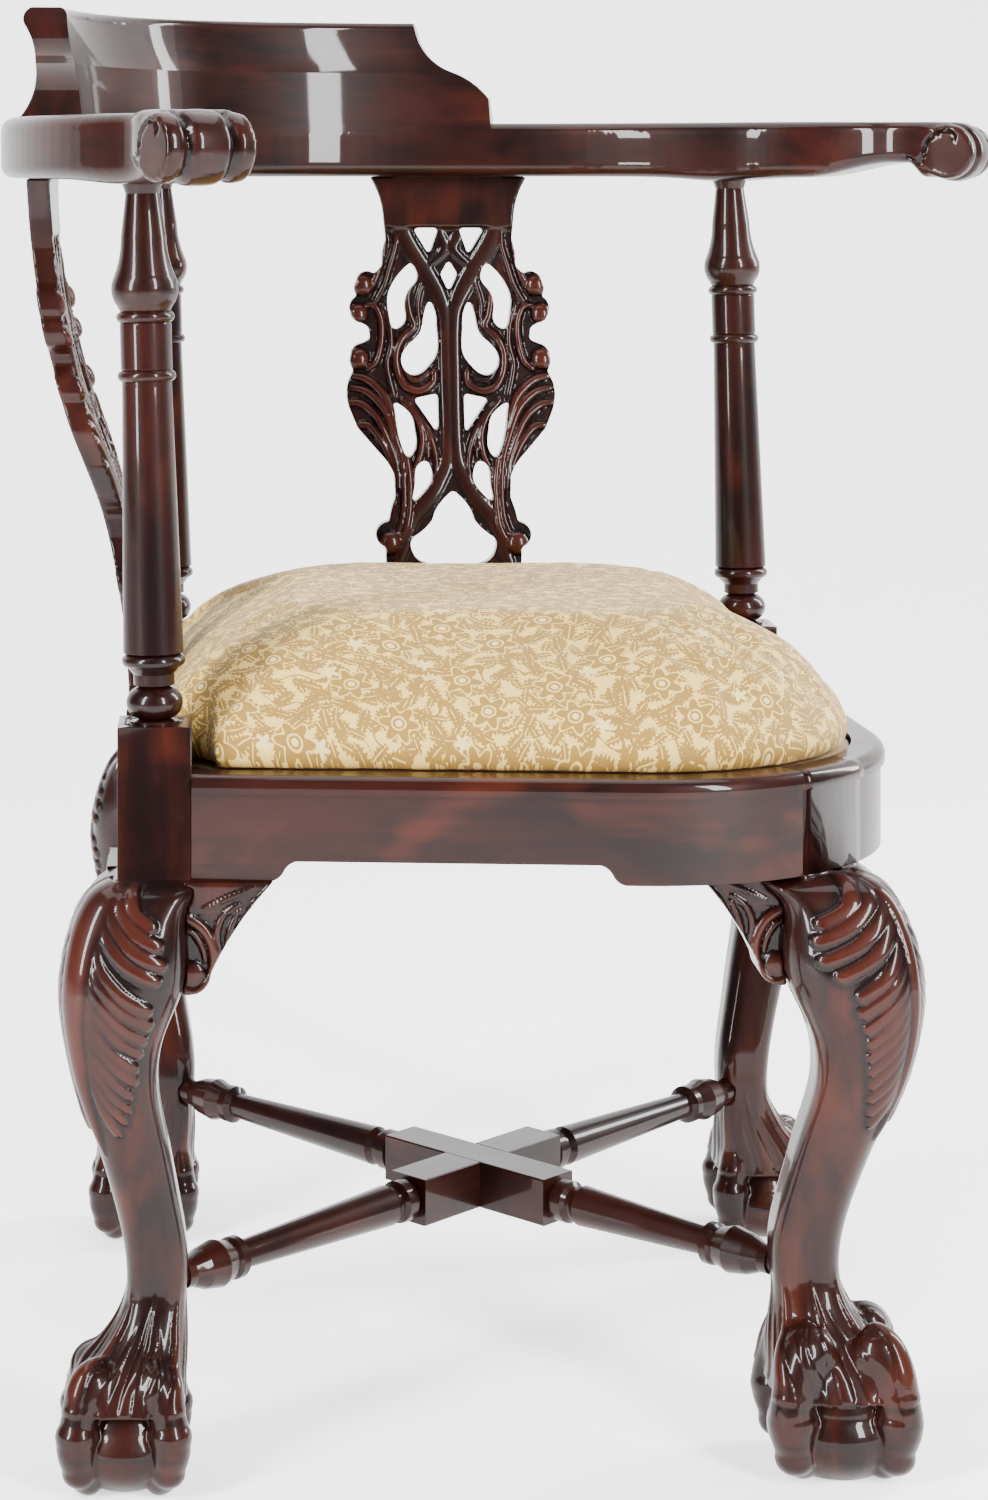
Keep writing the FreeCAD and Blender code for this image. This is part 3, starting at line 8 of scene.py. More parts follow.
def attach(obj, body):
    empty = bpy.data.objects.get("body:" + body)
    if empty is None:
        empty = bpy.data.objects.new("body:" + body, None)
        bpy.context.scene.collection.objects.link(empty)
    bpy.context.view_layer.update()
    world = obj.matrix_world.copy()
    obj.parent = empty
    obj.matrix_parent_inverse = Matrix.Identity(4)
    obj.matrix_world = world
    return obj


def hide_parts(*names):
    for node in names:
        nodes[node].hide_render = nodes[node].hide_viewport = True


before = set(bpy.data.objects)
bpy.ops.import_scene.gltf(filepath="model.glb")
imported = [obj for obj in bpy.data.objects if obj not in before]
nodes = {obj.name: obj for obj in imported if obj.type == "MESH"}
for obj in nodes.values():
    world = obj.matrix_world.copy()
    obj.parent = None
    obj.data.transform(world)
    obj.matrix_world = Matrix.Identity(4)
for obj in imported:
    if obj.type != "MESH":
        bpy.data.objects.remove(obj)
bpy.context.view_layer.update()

# Sizes repeated from the frame, in metres
SEAT_Y = -0.011337
BOW_Y = -0.000756
BOW_RADIUS = 0.275772


def smooth(thing, angle=35):
    """Shade smooth, but keep edges sharper than an angle."""
    bpy.context.view_layer.objects.active = thing
    with bpy.context.temp_override(active_object=thing, object=thing, selected_objects=[thing],
                                   selected_editable_objects=[thing]):
        bpy.ops.object.shade_smooth_by_angle(angle=math.radians(angle))


# Materials

# Colours of the wood: its dark figure, its middle, where hands have worn it, and the painted shade
# that lies in hollows of carving and the painted highlight on its high places
DARK_WOOD = (0.004, 0.001, 0.001)
RED_WOOD = (0.017, 0.0028, 0.0016)
WORN_WOOD = (0.07, 0.0135, 0.0048)
PAINTED_SHADE_COLOUR = (0.004, 0.0015, 0.0015)
PAINTED_HIGHLIGHT_COLOUR = (0.06, 0.012, 0.0055)
# How fine each part of the figure is, along the grain and across it, per metre
STREAKS = (5, 60, 60)
PORES = (30, 700, 700)
CLOUDS = (9, 16, 16)
PATCHES = (14, 22, 22)


def new_material(name):
    """A material as (material, node tree, its Principled shader)."""
    material = bpy.data.materials.new(name)
    material.use_nodes = True
    return material, material.node_tree, material.node_tree.nodes["Principled BSDF"]


def new_group(name, inputs, outputs):
    """An empty node group with named sockets, as (kind, name, default) for the inputs."""
    tree = bpy.data.node_groups.new(name, "ShaderNodeTree")
    for kind, label, default in inputs:
        socket = tree.interface.new_socket(name=label, in_out="INPUT", socket_type=kind)
        socket.default_value = default
    for kind, label in outputs:
        tree.interface.new_socket(name=label, in_out="OUTPUT", socket_type=kind)
    return tree, tree.nodes.new("NodeGroupInput"), tree.nodes.new("NodeGroupOutput")


def maths(tree, operation, a, b=None, clamp=False):
    """A maths node; each value is a number or a socket."""
    node = tree.nodes.new("ShaderNodeMath")
    node.operation = operation
    node.use_clamp = clamp
    for index, item in enumerate((a, b)):
        if item is None:
            continue
        if isinstance(item, (int, float)):
            node.inputs[index].default_value = item
        else:
            tree.links.new(item, node.inputs[index])
    return node.outputs[0]


def noise(tree, vector, scale, detail=2.0, roughness=0.5, distortion=0.0):
    """A noise pattern's value."""
    node = tree.nodes.new("ShaderNodeTexNoise")
    node.inputs["Scale"].default_value = scale
    node.inputs["Detail"].default_value = detail
    node.inputs["Roughness"].default_value = roughness
    node.inputs["Distortion"].default_value = distortion
    tree.links.new(vector, node.inputs["Vector"])
    return node.outputs["Fac"]


def blended(tree, share, a, b):
    """Two colours mixed; each is a colour or a socket."""
    node = tree.nodes.new("ShaderNodeMix")
    node.data_type = "RGBA"
    if isinstance(share, (int, float)):
        node.inputs[0].default_value = share
    else:
        tree.links.new(share, node.inputs[0])
    for socket, item in ((node.inputs[6], a), (node.inputs[7], b)):
        if isinstance(item, tuple):
            socket.default_value = (*item, 1)
        else:
            tree.links.new(item, socket)
    return node.outputs[2]


def scaled(tree, vector, amounts):
    """A vector multiplied by x, y, z amounts."""
    node = tree.nodes.new("ShaderNodeVectorMath")
    node.operation = "MULTIPLY"
    node.inputs[1].default_value = amounts
    tree.links.new(vector, node.inputs[0])
    return node.outputs[0]


def mapped(tree, value, low, high, to_low=0.0, to_high=1.0):
    """A value moved from one range to another."""
    node = tree.nodes.new("ShaderNodeMapRange")
    node.inputs["From Min"].default_value = low
    node.inputs["From Max"].default_value = high
    node.inputs["To Min"].default_value = to_low
    node.inputs["To Max"].default_value = to_high
    tree.links.new(value, node.inputs["Value"])
    return node.outputs[0]


def kept(tree, label, output="Fac"):
    """What a mesh keeps for each of its points."""
    node = tree.nodes.new("ShaderNodeAttribute")
    node.attribute_name = label
    return node.outputs[output]


def bumped(tree, shader, height, strength):
    """Fine relief of a surface, from a height."""
    bump = tree.nodes.new("ShaderNodeBump")
    bump.inputs["Strength"].default_value = strength
    bump.inputs["Distance"].default_value = 0.0006
    tree.links.new(height, bump.inputs["Height"])
    tree.links.new(bump.outputs[0], shader.inputs["Normal"])


def make_grain():
    """Mahogany figure: long streaks, fine pores and slow cloudy change of tone.
    The vector's X runs along the grain, in metres."""
    tree, given, put = new_group("mahogany_grain", [
        ("NodeSocketVector", "Vector", (0, 0, 0)), ("NodeSocketColor", "Dark", (*DARK_WOOD, 1)),
        ("NodeSocketColor", "Middle", (*RED_WOOD, 1)), ("NodeSocketColor", "Light", (*WORN_WOOD, 1)),
        ("NodeSocketFloat", "Wear", 0.5)],
        [("NodeSocketColor", "Color"), ("NodeSocketFloat", "Height"), ("NodeSocketFloat", "Roughness")])
    vector = given.outputs["Vector"]
    streaks = noise(tree, scaled(tree, vector, STREAKS), 1.0, 4, 0.6, 0.6)
    fine = noise(tree, scaled(tree, vector, PORES), 1.0, 3, 0.6)
    cloud = noise(tree, scaled(tree, vector, CLOUDS), 1.0, 3, 0.55, 0.8)
    patch = noise(tree, scaled(tree, vector, PATCHES), 1.0, 2, 0.5, 0.4)
    tone = maths(tree, "ADD", maths(tree, "MULTIPLY", streaks, 0.55), maths(tree, "MULTIPLY", cloud, 0.6))
    tone = maths(tree, "ADD", tone, maths(tree, "MULTIPLY", fine, 0.12))
    colour = blended(tree, mapped(tree, tone, 0.5, 0.74), given.outputs["Dark"], given.outputs["Middle"])
    worn = maths(tree, "ADD", maths(tree, "MULTIPLY", patch, 0.8), maths(tree, "MULTIPLY", streaks, 0.25))
    worn = maths(tree, "MULTIPLY", mapped(tree, worn, 0.56, 0.78), given.outputs["Wear"])
    tree.links.new(blended(tree, worn, colour, given.outputs["Light"]), put.inputs["Color"])
    tree.links.new(maths(tree, "ADD", fine, maths(tree, "MULTIPLY", cloud, 2.0)), put.inputs["Height"])
    tree.links.new(mapped(tree, cloud, 0, 1, 0.3, 0.5), put.inputs["Roughness"])
    return tree


GRAIN = make_grain()


def grain_direction(tree, way):
    """Coordinates whose X runs along the grain: a turn in degrees about Z, 'up', or 'bow'."""
    place = tree.nodes.new("ShaderNodeTexCoord").outputs["Object"]
    if way == "bow":
        parts = tree.nodes.new("ShaderNodeSeparateXYZ")
        tree.links.new(place, parts.inputs[0])
        x = parts.outputs[0]
        y = maths(tree, "SUBTRACT", parts.outputs[1], BOW_Y)
        along = maths(tree, "MULTIPLY", maths(tree, "ARCTAN2", x, y), BOW_RADIUS)
        squares = maths(tree, "ADD", maths(tree, "MULTIPLY", x, x), maths(tree, "MULTIPLY", y, y))
        joint = tree.nodes.new("ShaderNodeCombineXYZ")
        for index, item in enumerate((along, maths(tree, "SQRT", squares), parts.outputs[2])):
            tree.links.new(item, joint.inputs[index])
        return joint.outputs[0]
    turn = (0, math.radians(90), 0) if way == "up" else (0, 0, -math.radians(way))
    mapping = tree.nodes.new("ShaderNodeMapping")
    mapping.inputs["Rotation"].default_value = turn
    tree.links.new(place, mapping.inputs["Vector"])
    return mapping.outputs[0]


def mahogany(name, way, wear=0.55, carved=False):
    """Lacquered mahogany with the grain running one way. Carved wood has painted shade in
    its hollows and a painted highlight on its high places."""
    material, tree, shader = new_material(name)
    grain = tree.nodes.new("ShaderNodeGroup")
    grain.node_tree = GRAIN
    grain.inputs["Wear"].default_value = wear
    tree.links.new(grain_direction(tree, way), grain.inputs["Vector"])
    colour = grain.outputs["Color"]
    if carved:
        # Painted highlight on the carving's high places, then painted shade in its hollows
        painted_highlight = maths(tree, "MULTIPLY", kept(tree, "painted_highlight"), 0.4)
        colour = blended(tree, painted_highlight, colour, PAINTED_HIGHLIGHT_COLOUR)
        colour = blended(tree, kept(tree, "painted_shade"), colour, PAINTED_SHADE_COLOUR)
    tree.links.new(colour, shader.inputs["Base Color"])
    tree.links.new(grain.outputs["Roughness"], shader.inputs["Roughness"])
    bumped(tree, shader, grain.outputs["Height"], 0.12)
    shader.inputs["IOR"].default_value = 1.45
    shader.inputs["Specular IOR Level"].default_value = 0.1
    shader.inputs["Coat Weight"].default_value = 0.42
    shader.inputs["Coat Roughness"].default_value = 0.05
    shader.inputs["Coat IOR"].default_value = 1.42
    return material


def dress(names, material):
    """Give frame nodes one material."""
    for name in names:
        nodes[name].data.materials.clear()
        nodes[name].data.materials.append(material)


# Carving


def curved(points, steps=6):
    """The same line with more points, bent smoothly through them."""
    line = []
    for number in range(len(points) - 1):
        before, start, end, after = (np.array(points[min(max(number + step, 0), len(points) - 1)], float)
                                     for step in (-1, 0, 1, 2))
        for step in range(steps):
            t = step / steps
            line.append(0.5 * (2 * start + (end - before) * t
                               + (2 * before - 5 * start + 4 * end - after) * t * t
                               + (3 * start - before - 3 * end + after) * t ** 3))
    line.append(np.array(points[-1], float))
    return line


# How near a carved line is to a place that has none, in half widths of a line
FAR_OFF = 9.0


def relief(places, lines):
    """Height of carved lines at places on a flat map, and how near a line each place is.
    A line is (x, y, half width, height) points in millimetres; it is round across, and
    where two of them meet the higher one shows."""
    height = np.zeros(len(places))
    near = np.full(len(places), FAR_OFF)
    for line in lines:
        line = np.array(curved(line) if len(line) > 1 else [line[0], np.array(line[0]) + (0.01, 0, 0, 0)])
        margin = 2.2 * line[:, 2].max()
        low, high = line[:, :2].min(0) - margin, line[:, :2].max(0) + margin
        close = np.nonzero(np.all((places > low) & (places < high), axis=1))[0]
        for start, end in zip(line, line[1:]):
            along = end[:2] - start[:2]
            away = places[close] - start[:2]
            part = np.clip(away @ along / max(along @ along, 1e-9), 0, 1)
            gap = np.hypot(*(away - part[:, None] * along).T)
            width = start[2] + (end[2] - start[2]) * part
            tall = start[3] + (end[3] - start[3]) * part
            share = gap / np.maximum(width, 0.3)
            bead = tall * np.sqrt(np.clip(1 - share ** 2, 0, 1))
            height[close] = np.maximum(height[close], bead)
            near[close] = np.minimum(near[close], share)
    return height, near


def ease(low, high, values):
    """0 below low, 1 above high and a smooth rise between."""
    part = np.clip((values - low) / (high - low), 0, 1)
    return part * part * (3 - 2 * part)


# Points of a frame node that lie closer than this are one, in metres
MERGE = 0.00001


def frame_mesh(name):
    """A merged copy of a frame node, where it stands."""
    mesh = bmesh.new()
    mesh.from_mesh(nodes[name].data)
    mesh.transform(nodes[name].matrix_world)
    bmesh.ops.remove_doubles(mesh, verts=mesh.verts, dist=MERGE)
    return mesh


def split(mesh, level, keep_above):
    """Cut a mesh at a height, keep one side and close it."""
    geometry = mesh.verts[:] + mesh.edges[:] + mesh.faces[:]
    cut = bmesh.ops.bisect_plane(mesh, geom=geometry, plane_co=(0, 0, level), plane_no=(0, 0, 1),
                                 clear_inner=keep_above, clear_outer=not keep_above)
    edges = [item for item in cut["geom_cut"] if isinstance(item, bmesh.types.BMEdge)]
    bmesh.ops.triangle_fill(mesh, edges=edges, use_beauty=True)


def soften(mesh, points, rounds):
    """Even out some points of a mesh a few times over."""
    for _ in range(rounds):
        bmesh.ops.smooth_vert(mesh, verts=points, factor=0.5, use_axis_x=True, use_axis_y=True,
                              use_axis_z=True)


def even(mesh, voxel, rounds=2, calm=None):
    """The same form with small even faces, a little softened, and more so between two heights."""
    data = bpy.data.meshes.new("carving")
    mesh.to_mesh(data)
    mesh.free()
    thing = bpy.data.objects.new("carving", data)
    bpy.context.scene.collection.objects.link(thing)
    remesh = thing.modifiers.new("even", "REMESH")
    remesh.mode = "VOXEL"
    remesh.voxel_size = voxel
    graph = bpy.context.evaluated_depsgraph_get()
    result = bpy.data.meshes.new_from_object(thing.evaluated_get(graph))
    bpy.data.objects.remove(thing)
    soft = bmesh.new()
    soft.from_mesh(result)
    soften(soft, soft.verts, rounds)
    if calm:
        low, high, more = calm
        soften(soft, [vert for vert in soft.verts if low < vert.co.z < high], more)
    soft.to_mesh(result)
    soft.free()
    return result


def points_of(data):
    """The points of a mesh in millimetres, with their normals."""
    data.update()
    points = np.empty(len(data.vertices) * 3)
    data.vertices.foreach_get("co", points)
    normals = np.empty(len(data.vertices) * 3)
    data.vertices.foreach_get("normal", normals)
    return points.reshape(-1, 3) * 1000, normals.reshape(-1, 3)


def mark(data, label, values):
    """Keep a value for each point, for the material."""
    layer = data.attributes.new(label, "FLOAT", "POINT")
    layer.data.foreach_set("value", np.clip(values, 0, 1).astype(np.float32))


def carve(data, points, moved, height, near, depth=2.4):
    """Put the moved points back, with painted shade beside the carved lines and a painted highlight on top
    of them.
    """
    data.vertices.foreach_set("co", (moved / 1000).ravel())
    mark(data, "painted_shade", 0.95 * ease(0.72, 0.98, near) * (1 - ease(1.25, 2.1, near)))
    mark(data, "painted_highlight", ease(0.5 * depth, depth, height))
    data.update()


def show(name, data, material, *replaced):
    """Put a piece of the frame body into the scene in place of frame nodes."""
    thing = bpy.data.objects.new(name, data)
    bpy.context.scene.collection.objects.link(thing)
    data.materials.clear()
    data.materials.append(material)
    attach(thing, "frame")
    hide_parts(*replaced)
    smooth(thing, 40)


def joined(data, mesh):
    """Add a bmesh's faces to a mesh that keeps its point values."""
    extra = bpy.data.meshes.new("extra")
    mesh.to_mesh(extra)
    mesh.free()
    # The plain part gets no painted shade and no painted highlight
    for label in ("painted_shade", "painted_highlight"):
        mark(extra, label, np.zeros(len(extra.vertices)))
    whole = bmesh.new()
    whole.from_mesh(data)
    whole.from_mesh(extra)
    whole.to_mesh(data)
    whole.free()
    bpy.data.meshes.remove(extra)
    return data


# Legs

# Where each foot stands, in metres, and the leg's turn in degrees
FEET = {"left": (-0.298772, SEAT_Y, -90), "right": (0.298772, SEAT_Y, 90),
        "back": (0, 0.287435, 180), "front": (0, -0.275515, 0)}
RAIL_BOTTOM = 333
# Millimetres round a leg for a degree of turn
WRAP = 0.54
# The middle of a leg at each height, from the foot's middle and towards the post
SIDE_MIDDLE = [(0, 0), (46, 0), (57, 3.2), (78, 15.6), (100, 23.5), (112, 24.7), (156, 16), (190, 5.5),
               (220, -5), (252, -7), (275, -2), (296, 2), (320, 9), (333, 23)]
FRONT_MIDDLE = [(0, 0), (46, 0), (57, 2.8), (78, 13.6), (100, 20.6), (112, 22.1), (156, 11.6), (190, -1),
                (220, -13.6), (252, -16), (275, -10), (296, -6), (320, 3), (333, 26)]
# Heights up a leg, in millimetres: no carved line lies below the claws' top, and the foot's
# painted shade ends at the ankle
CLAW_TOP = 47
ANKLE = 120
# The skin over the claws is softened between two heights, in metres, a number of times
SKIN = (0.05, 0.1, 45)
# Heights of the creases between the claws' joints, where shade is painted, and half the width of that
# painted shade
CREASES = (23.5, 44)
CREASE = 1.3
# A cut just past the rail's underside, trimmed to it after the carving, in metres
SPARE = 0.006
# Leaf tips on a knee as (degrees round, height), in groups from the top down
SIDE_TIPS = [(62, 312), (70, 302), (76, 292), (72, 284), (70, 268), (75, 260), (74, 252), (70, 245),
             (66, 236), (66, 229), (60, 221), (54, 213), (44, 206), (30, 199)]
FRONT_TIPS = [(68, 310), (74, 301), (72, 291), (60, 283), (46, 272), (48, 263), (46, 254), (43, 246),
              (42, 238), (39, 230), (36, 222), (31, 214), (25, 206), (18, 199)]
SIDE_RIB = [(0, 337, 22, 1.2), (0, 316, 14, 1.8), (0, 297, 9, 2.4), (0, 250, 8, 2.6), (0, 215, 6, 2.4),
            (0, 196, 4, 2), (0, 184, 2, 0.8)]
FRONT_RIB = [(0, 337, 5, 1.6), (0, 300, 3.4, 2.8), (0, 250, 3, 3), (0, 215, 2.6, 2.6), (0, 198, 3, 2.2),
             (0, 188, 2.4, 1.2)]


def knee_leaf(tips, rib, start):
    """Acanthus on a knee: a rib with curved fingers that sweep down and away on both sides."""
    lines = [rib]
    for side in (1, -1):
        for angle, level in tips:
            spread = angle - start
            lines.append([
                (side * start * WRAP, level + 36, 1.6, 0.6),
                (side * (start + 0.14 * spread) * WRAP, level + 23, 3, 1.6),
                (side * (start + 0.52 * spread) * WRAP, level + 9, 4, 2.3),
                (side * angle * WRAP, level, 4, 2.3)])
    return lines


def foot_lines():
    """Tendons from the ankle to the claws, with lesser ones in the web between them."""
    lines = []
    for claw in (-180, -90, 0, 90, 180):
        at = claw * WRAP
        lines.append([(at * 0.96, 108, 1.2, 0.1), (at, 94, 2.6, 1.3), (at, 76, 3.6, 2.2), (at, 60, 5, 2.4),
                      (at, 50, 5.5, 1)])
    for web in (-135, -45, 45, 135):
        at = web * WRAP
        lines.append([(at, 104, 1.2, 0.1), (at, 86, 2.4, 1.2), (at, 68, 3.2, 1.6), (at, 50, 3.6, 1.2)])
        for aside in (-21, 21):
            beside = (web + aside) * WRAP
            lines.append([((web + aside * 0.7) * WRAP, 90, 1, 0.1), (beside, 76, 1.8, 0.8),
                          (beside, 60, 2.4, 0.9), (beside, 50, 2.4, 0.5)])
    return lines


# The lower knuckle and the nail of a claw, as distance from the foot's middle, height and radius,
# and the ball between the claws as height and radius; both are a little flat
CLAW = ((36, 34, 12.2), (34, 14, 10))
CLAW_FLAT = 0.86
BALL = (0.0215, 0.0335)
BALL_FLAT = 0.74


def claw_forms(mesh, size):
    """The four claws' knuckles and nails, and a broad ball between them."""
    for out, level, radius in CLAW:
        for turn in range(4):
            place = Matrix.Rotation(math.radians(90 * turn), 4, "Z") @ Matrix.Translation(
                (0, -out * size / 1000, level / 1000))
            flat = Matrix.Diagonal((1, 1, CLAW_FLAT, 1))
            bmesh.ops.create_uvsphere(mesh, u_segments=24, v_segments=16, radius=radius * size / 1000,
                                      matrix=place @ flat)
    level, radius = BALL
    place = Matrix.Translation((0, 0, level)) @ Matrix.Diagonal((1, 1, BALL_FLAT, 1))
    bmesh.ops.create_uvsphere(mesh, u_segments=48, v_segments=32, radius=radius * size, matrix=place)


def carved_lower_leg(side, middle, leaf, size, voxel):
    """A leg's carved knee, ball and claws, about the foot's middle with the knee towards -Y."""
    lower = frame_mesh(f"{side}_leg")
    split(lower, RAIL_BOTTOM / 1000 + SPARE, False)
    lower.transform(foot_place(side).inverted())
    claw_forms(lower, size)
    data = even(lower, voxel, 2, SKIN)
    points, normals = points_of(data)
    heights, offsets = zip(*middle)
    aside = points[:, 1] - np.interp(points[:, 2], heights, offsets)
    around = np.degrees(np.arctan2(points[:, 0], -aside))
    places = np.stack([around * WRAP, points[:, 2]], 1)
    height, near = relief(places, leaf + foot_lines())
    height[points[:, 2] > RAIL_BOTTOM - 1] = 0
    height[points[:, 2] < CLAW_TOP] = 0
    moved = points + normals * height[:, None]
    moved[:, 2] = np.maximum(moved[:, 2], 0)
    # Painted shade beside the knee's and foot's carved lines and a painted highlight on their tops
    carve(data, points, moved, height, near)
    # Below the ankle the painted shade beside the tendons is cut to a quarter, and painted shade lies in
    # the creases between the claws' joints
    painted_shade = np.empty(len(points), np.float32)
    data.attributes["painted_shade"].data.foreach_get("value", painted_shade)
    out = np.hypot(points[:, 0], points[:, 1])
    joint = sum(np.exp(-((points[:, 2] - level) / CREASE) ** 2) for level in CREASES)
    low = points[:, 2] < ANKLE
    painted_shade[low] = (0.25 * painted_shade + 0.8 * np.minimum(joint, 1) * ease(26, 32, out / size))[low]
    data.attributes["painted_shade"].data.foreach_set("value", painted_shade)
    trimmed = bmesh.new()
    trimmed.from_mesh(data)
    split(trimmed, RAIL_BOTTOM / 1000, False)
    trimmed.to_mesh(data)
    trimmed.free()
    return data


def foot_place(side):
    """Where a foot stands, with its leg's turn."""
    x, y, turn = FEET[side]
    return Matrix.Translation((x, y, 0)) @ Matrix.Rotation(math.radians(turn), 4, "Z")


def carved_leg(side, lower):
    """A leg from its carved lower part and its own crisp block with the joints."""
    data = lower.copy()
    data.transform(foot_place(side))
    block = frame_mesh(f"{side}_leg")
    split(block, RAIL_BOTTOM / 1000 - 0.0005, True)
    return joined(data, block)


CARVED = mahogany("mahogany_carved_legs", "up", 0.5, carved=True)
# The leaves start this many degrees from the rib; the front foot is larger; faces are in metres
SIDE_LEG = carved_lower_leg("left", SIDE_MIDDLE, knee_leaf(SIDE_TIPS, SIDE_RIB, 15), size=1, voxel=0.00115)
FRONT_LEG = carved_lower_leg("front", FRONT_MIDDLE, knee_leaf(FRONT_TIPS, FRONT_RIB, 5), size=1.15,
                             voxel=0.00125)
for side in FEET:
    show(f"carved_{side}_leg", carved_leg(side, FRONT_LEG if side == "front" else SIDE_LEG), CARVED,
         f"{side}_leg")


# Knee blocks

# The posts' middles, in metres; the front leg stands in for the missing front post
POSTS = {"left": (-0.275772, SEAT_Y), "right": (0.275772, SEAT_Y), "back": (0, 0.264435),
         "front": (0, -0.255515)}
# Carved lines as (along the rail from the post's middle, height, half width, height of relief)
SCROLL = [
    [(8, 314, 2.5, 1.6), (17, 313.5, 3.2, 2.4), (26.5, 308, 3.4, 3), (32, 299, 3.4, 3.2),
     (33.6, 288, 3.6, 3.2),
     (30, 278, 3.8, 3), (22.4, 272.8, 3.6, 2.8), (14.2, 275.5, 3.4, 2.4)],
    [(12, 309, 1.6, 1.6), (21, 305.5, 2, 2.2), (26.5, 298, 2, 2.4), (28.3, 290, 1.6, 1.8)],
    [(21.1, 282.4, 7.6, 3)],
    [(46, 321, 1.4, 1.2), (38, 314.5, 2, 2), (34.8, 306, 2.2, 2.2), (36, 294, 1.6, 1.4)],
    [(47, 318, 1.2, 1), (42.5, 309, 1.8, 1.8), (40.6, 300, 2, 2), (39.6, 290, 1.4, 1.2)],
    [(26.9, 318.6, 0.9, 0.8), (36.4, 322.8, 1.5, 1.5), (45.3, 326.5, 1.5, 1.4), (55, 330.6, 1, 0.8)],
    [(65, 332, 1.8, 1.6), (54.6, 319.4, 2.6, 2.4), (48, 307.6, 2.8, 2.6), (42.4, 295, 2.8, 2.6),
     (37.6, 284, 2.8, 2.4), (32.5, 275, 2.4, 2)]]


# How deep the ground between the carved lines of a knee block lies, and where it ends above
GROUND_DEPTH = 1.4
GROUND_TOP = 317
BLOCK_VOXEL = 0.001


def carved_block(side, towards):
    """A knee block with a volute, a small leaf and a plain corner under the rail."""
    name = f"{side}_knee_block_{towards}"
    data = even(frame_mesh(name), BLOCK_VOXEL)
    points, normals = points_of(data)
    post = np.array((*POSTS[side], 0)) * 1000
    other = np.array((*POSTS[towards], 0)) * 1000
    steps = np.sign(other - post)
    along = steps / np.linalg.norm(steps)
    middle = np.array((0, SEAT_Y * 1000, 0))
    out = post - middle + other - middle
    out = out - (out @ along) * along
    out = out / np.linalg.norm(out)
    places = np.stack([(points - post) @ along, points[:, 2]], 1)
    height, near = relief(places, SCROLL)
    facing = ease(0.35, 0.75, normals @ out)
    sunk = GROUND_DEPTH * ease(0, 3, GROUND_TOP - points[:, 2]) * facing
    height = height * facing
    moved = points + out * (height - sunk)[:, None]
    # Painted shade beside the carved lines on the block's face and a painted highlight on their tops
    carve(data, points, moved, height, np.where(facing > 0.2, near, FAR_OFF), 3)
    return data


BLOCKS = mahogany("mahogany_carved_blocks", "up", 0.5, carved=True)
for side, towards in (("left", "back"), ("left", "front"), ("right", "back"), ("right", "front"),
                      ("back", "left"), ("back", "right"), ("front", "left"), ("front", "right")):
    show(f"carved_{side}_knee_block_{towards}", carved_block(side, towards), BLOCKS,
         f"{side}_knee_block_{towards}")


# Splats

ARM_BOTTOM = 720
# Carved lines of one half, from the middle line and from the arm's underside down:
# straps and stem, side scrolls, the onion strap, the large leaf and the leaves at the foot
STRAPS = [
    [(35.5, -33, 6.5, 1.8), (27, -50, 6.5, 1.8), (15, -69, 6.5, 1.8), (6.5, -85, 6, 1.8),
     (3.2, -100, 5, 1.8),
     (2.6, -140, 5, 1.8), (3, -190, 5, 1.8), (9, -207, 5.6, 1.8), (18, -222, 5.8, 1.8),
     (28, -234, 5.4, 1.8),
     (33, -250, 4.4, 1.6), (41, -272, 4, 1.4)],
    [(14, -262, 5, 1.4), (22, -276, 5.6, 1.4), (30, -290, 5.6, 1.4)],
    [(9, -38, 5, 1), (3, -50, 4, 1.6), (12, -60, 3, 1.6)]]
SIDE_SCROLLS = [
    [(46.5, -33, 2.6, 2.2), (45.6, -47, 2.8, 2.6), (48.5, -62, 3, 3), (52.5, -73, 3, 3),
     (57, -80, 2.8, 2.6)],
    [(37, -36, 2, 1.6), (37, -48, 2.2, 2), (41, -62, 2.4, 2.4), (45, -75, 2.4, 2.4), (51, -86, 2.2, 2)],
    [(60.5, -75.5, 8, 5.5)], [(64, -95.5, 7.8, 5.5)], [(63.5, -126, 7.8, 5.5)],
    [(58, -90, 2, 2.4), (52, -90, 2.6, 3), (47.6, -100, 2.8, 3.2), (47.6, -114, 2.8, 3.2),
     (51, -127, 2.8, 3),
     (57, -133, 2.4, 2.6)],
    [(46, -90, 2, 1.8), (42, -102, 2.4, 2.2), (41, -116, 2.4, 2.2), (44, -131, 2.4, 2),
     (40, -150, 2.4, 1.8)]]
ONION = [
    [(23, -69, 2.6, 2), (29, -82, 3, 2.6), (27.6, -96, 3, 2.6), (25, -104, 2.8, 2.4), (33, -112, 3, 2.8),
     (37.5, -123, 3.2, 3), (36, -137, 3.2, 3), (30, -146, 3.2, 3), (20.5, -148, 3.2, 3), (12, -142, 3, 2.8),
     (11.5, -135.5, 3.2, 2.8)],
    [(18.5, -75, 1.6, 1.2), (22, -89, 1.8, 1.6), (21.5, -105, 1.8, 1.6), (29, -115, 1.8, 1.8),
     (32.4, -125, 1.8, 1.8), (31, -135, 1.8, 1.8), (24, -141.5, 1.8, 1.8), (16, -137, 1.8, 1.6)]]
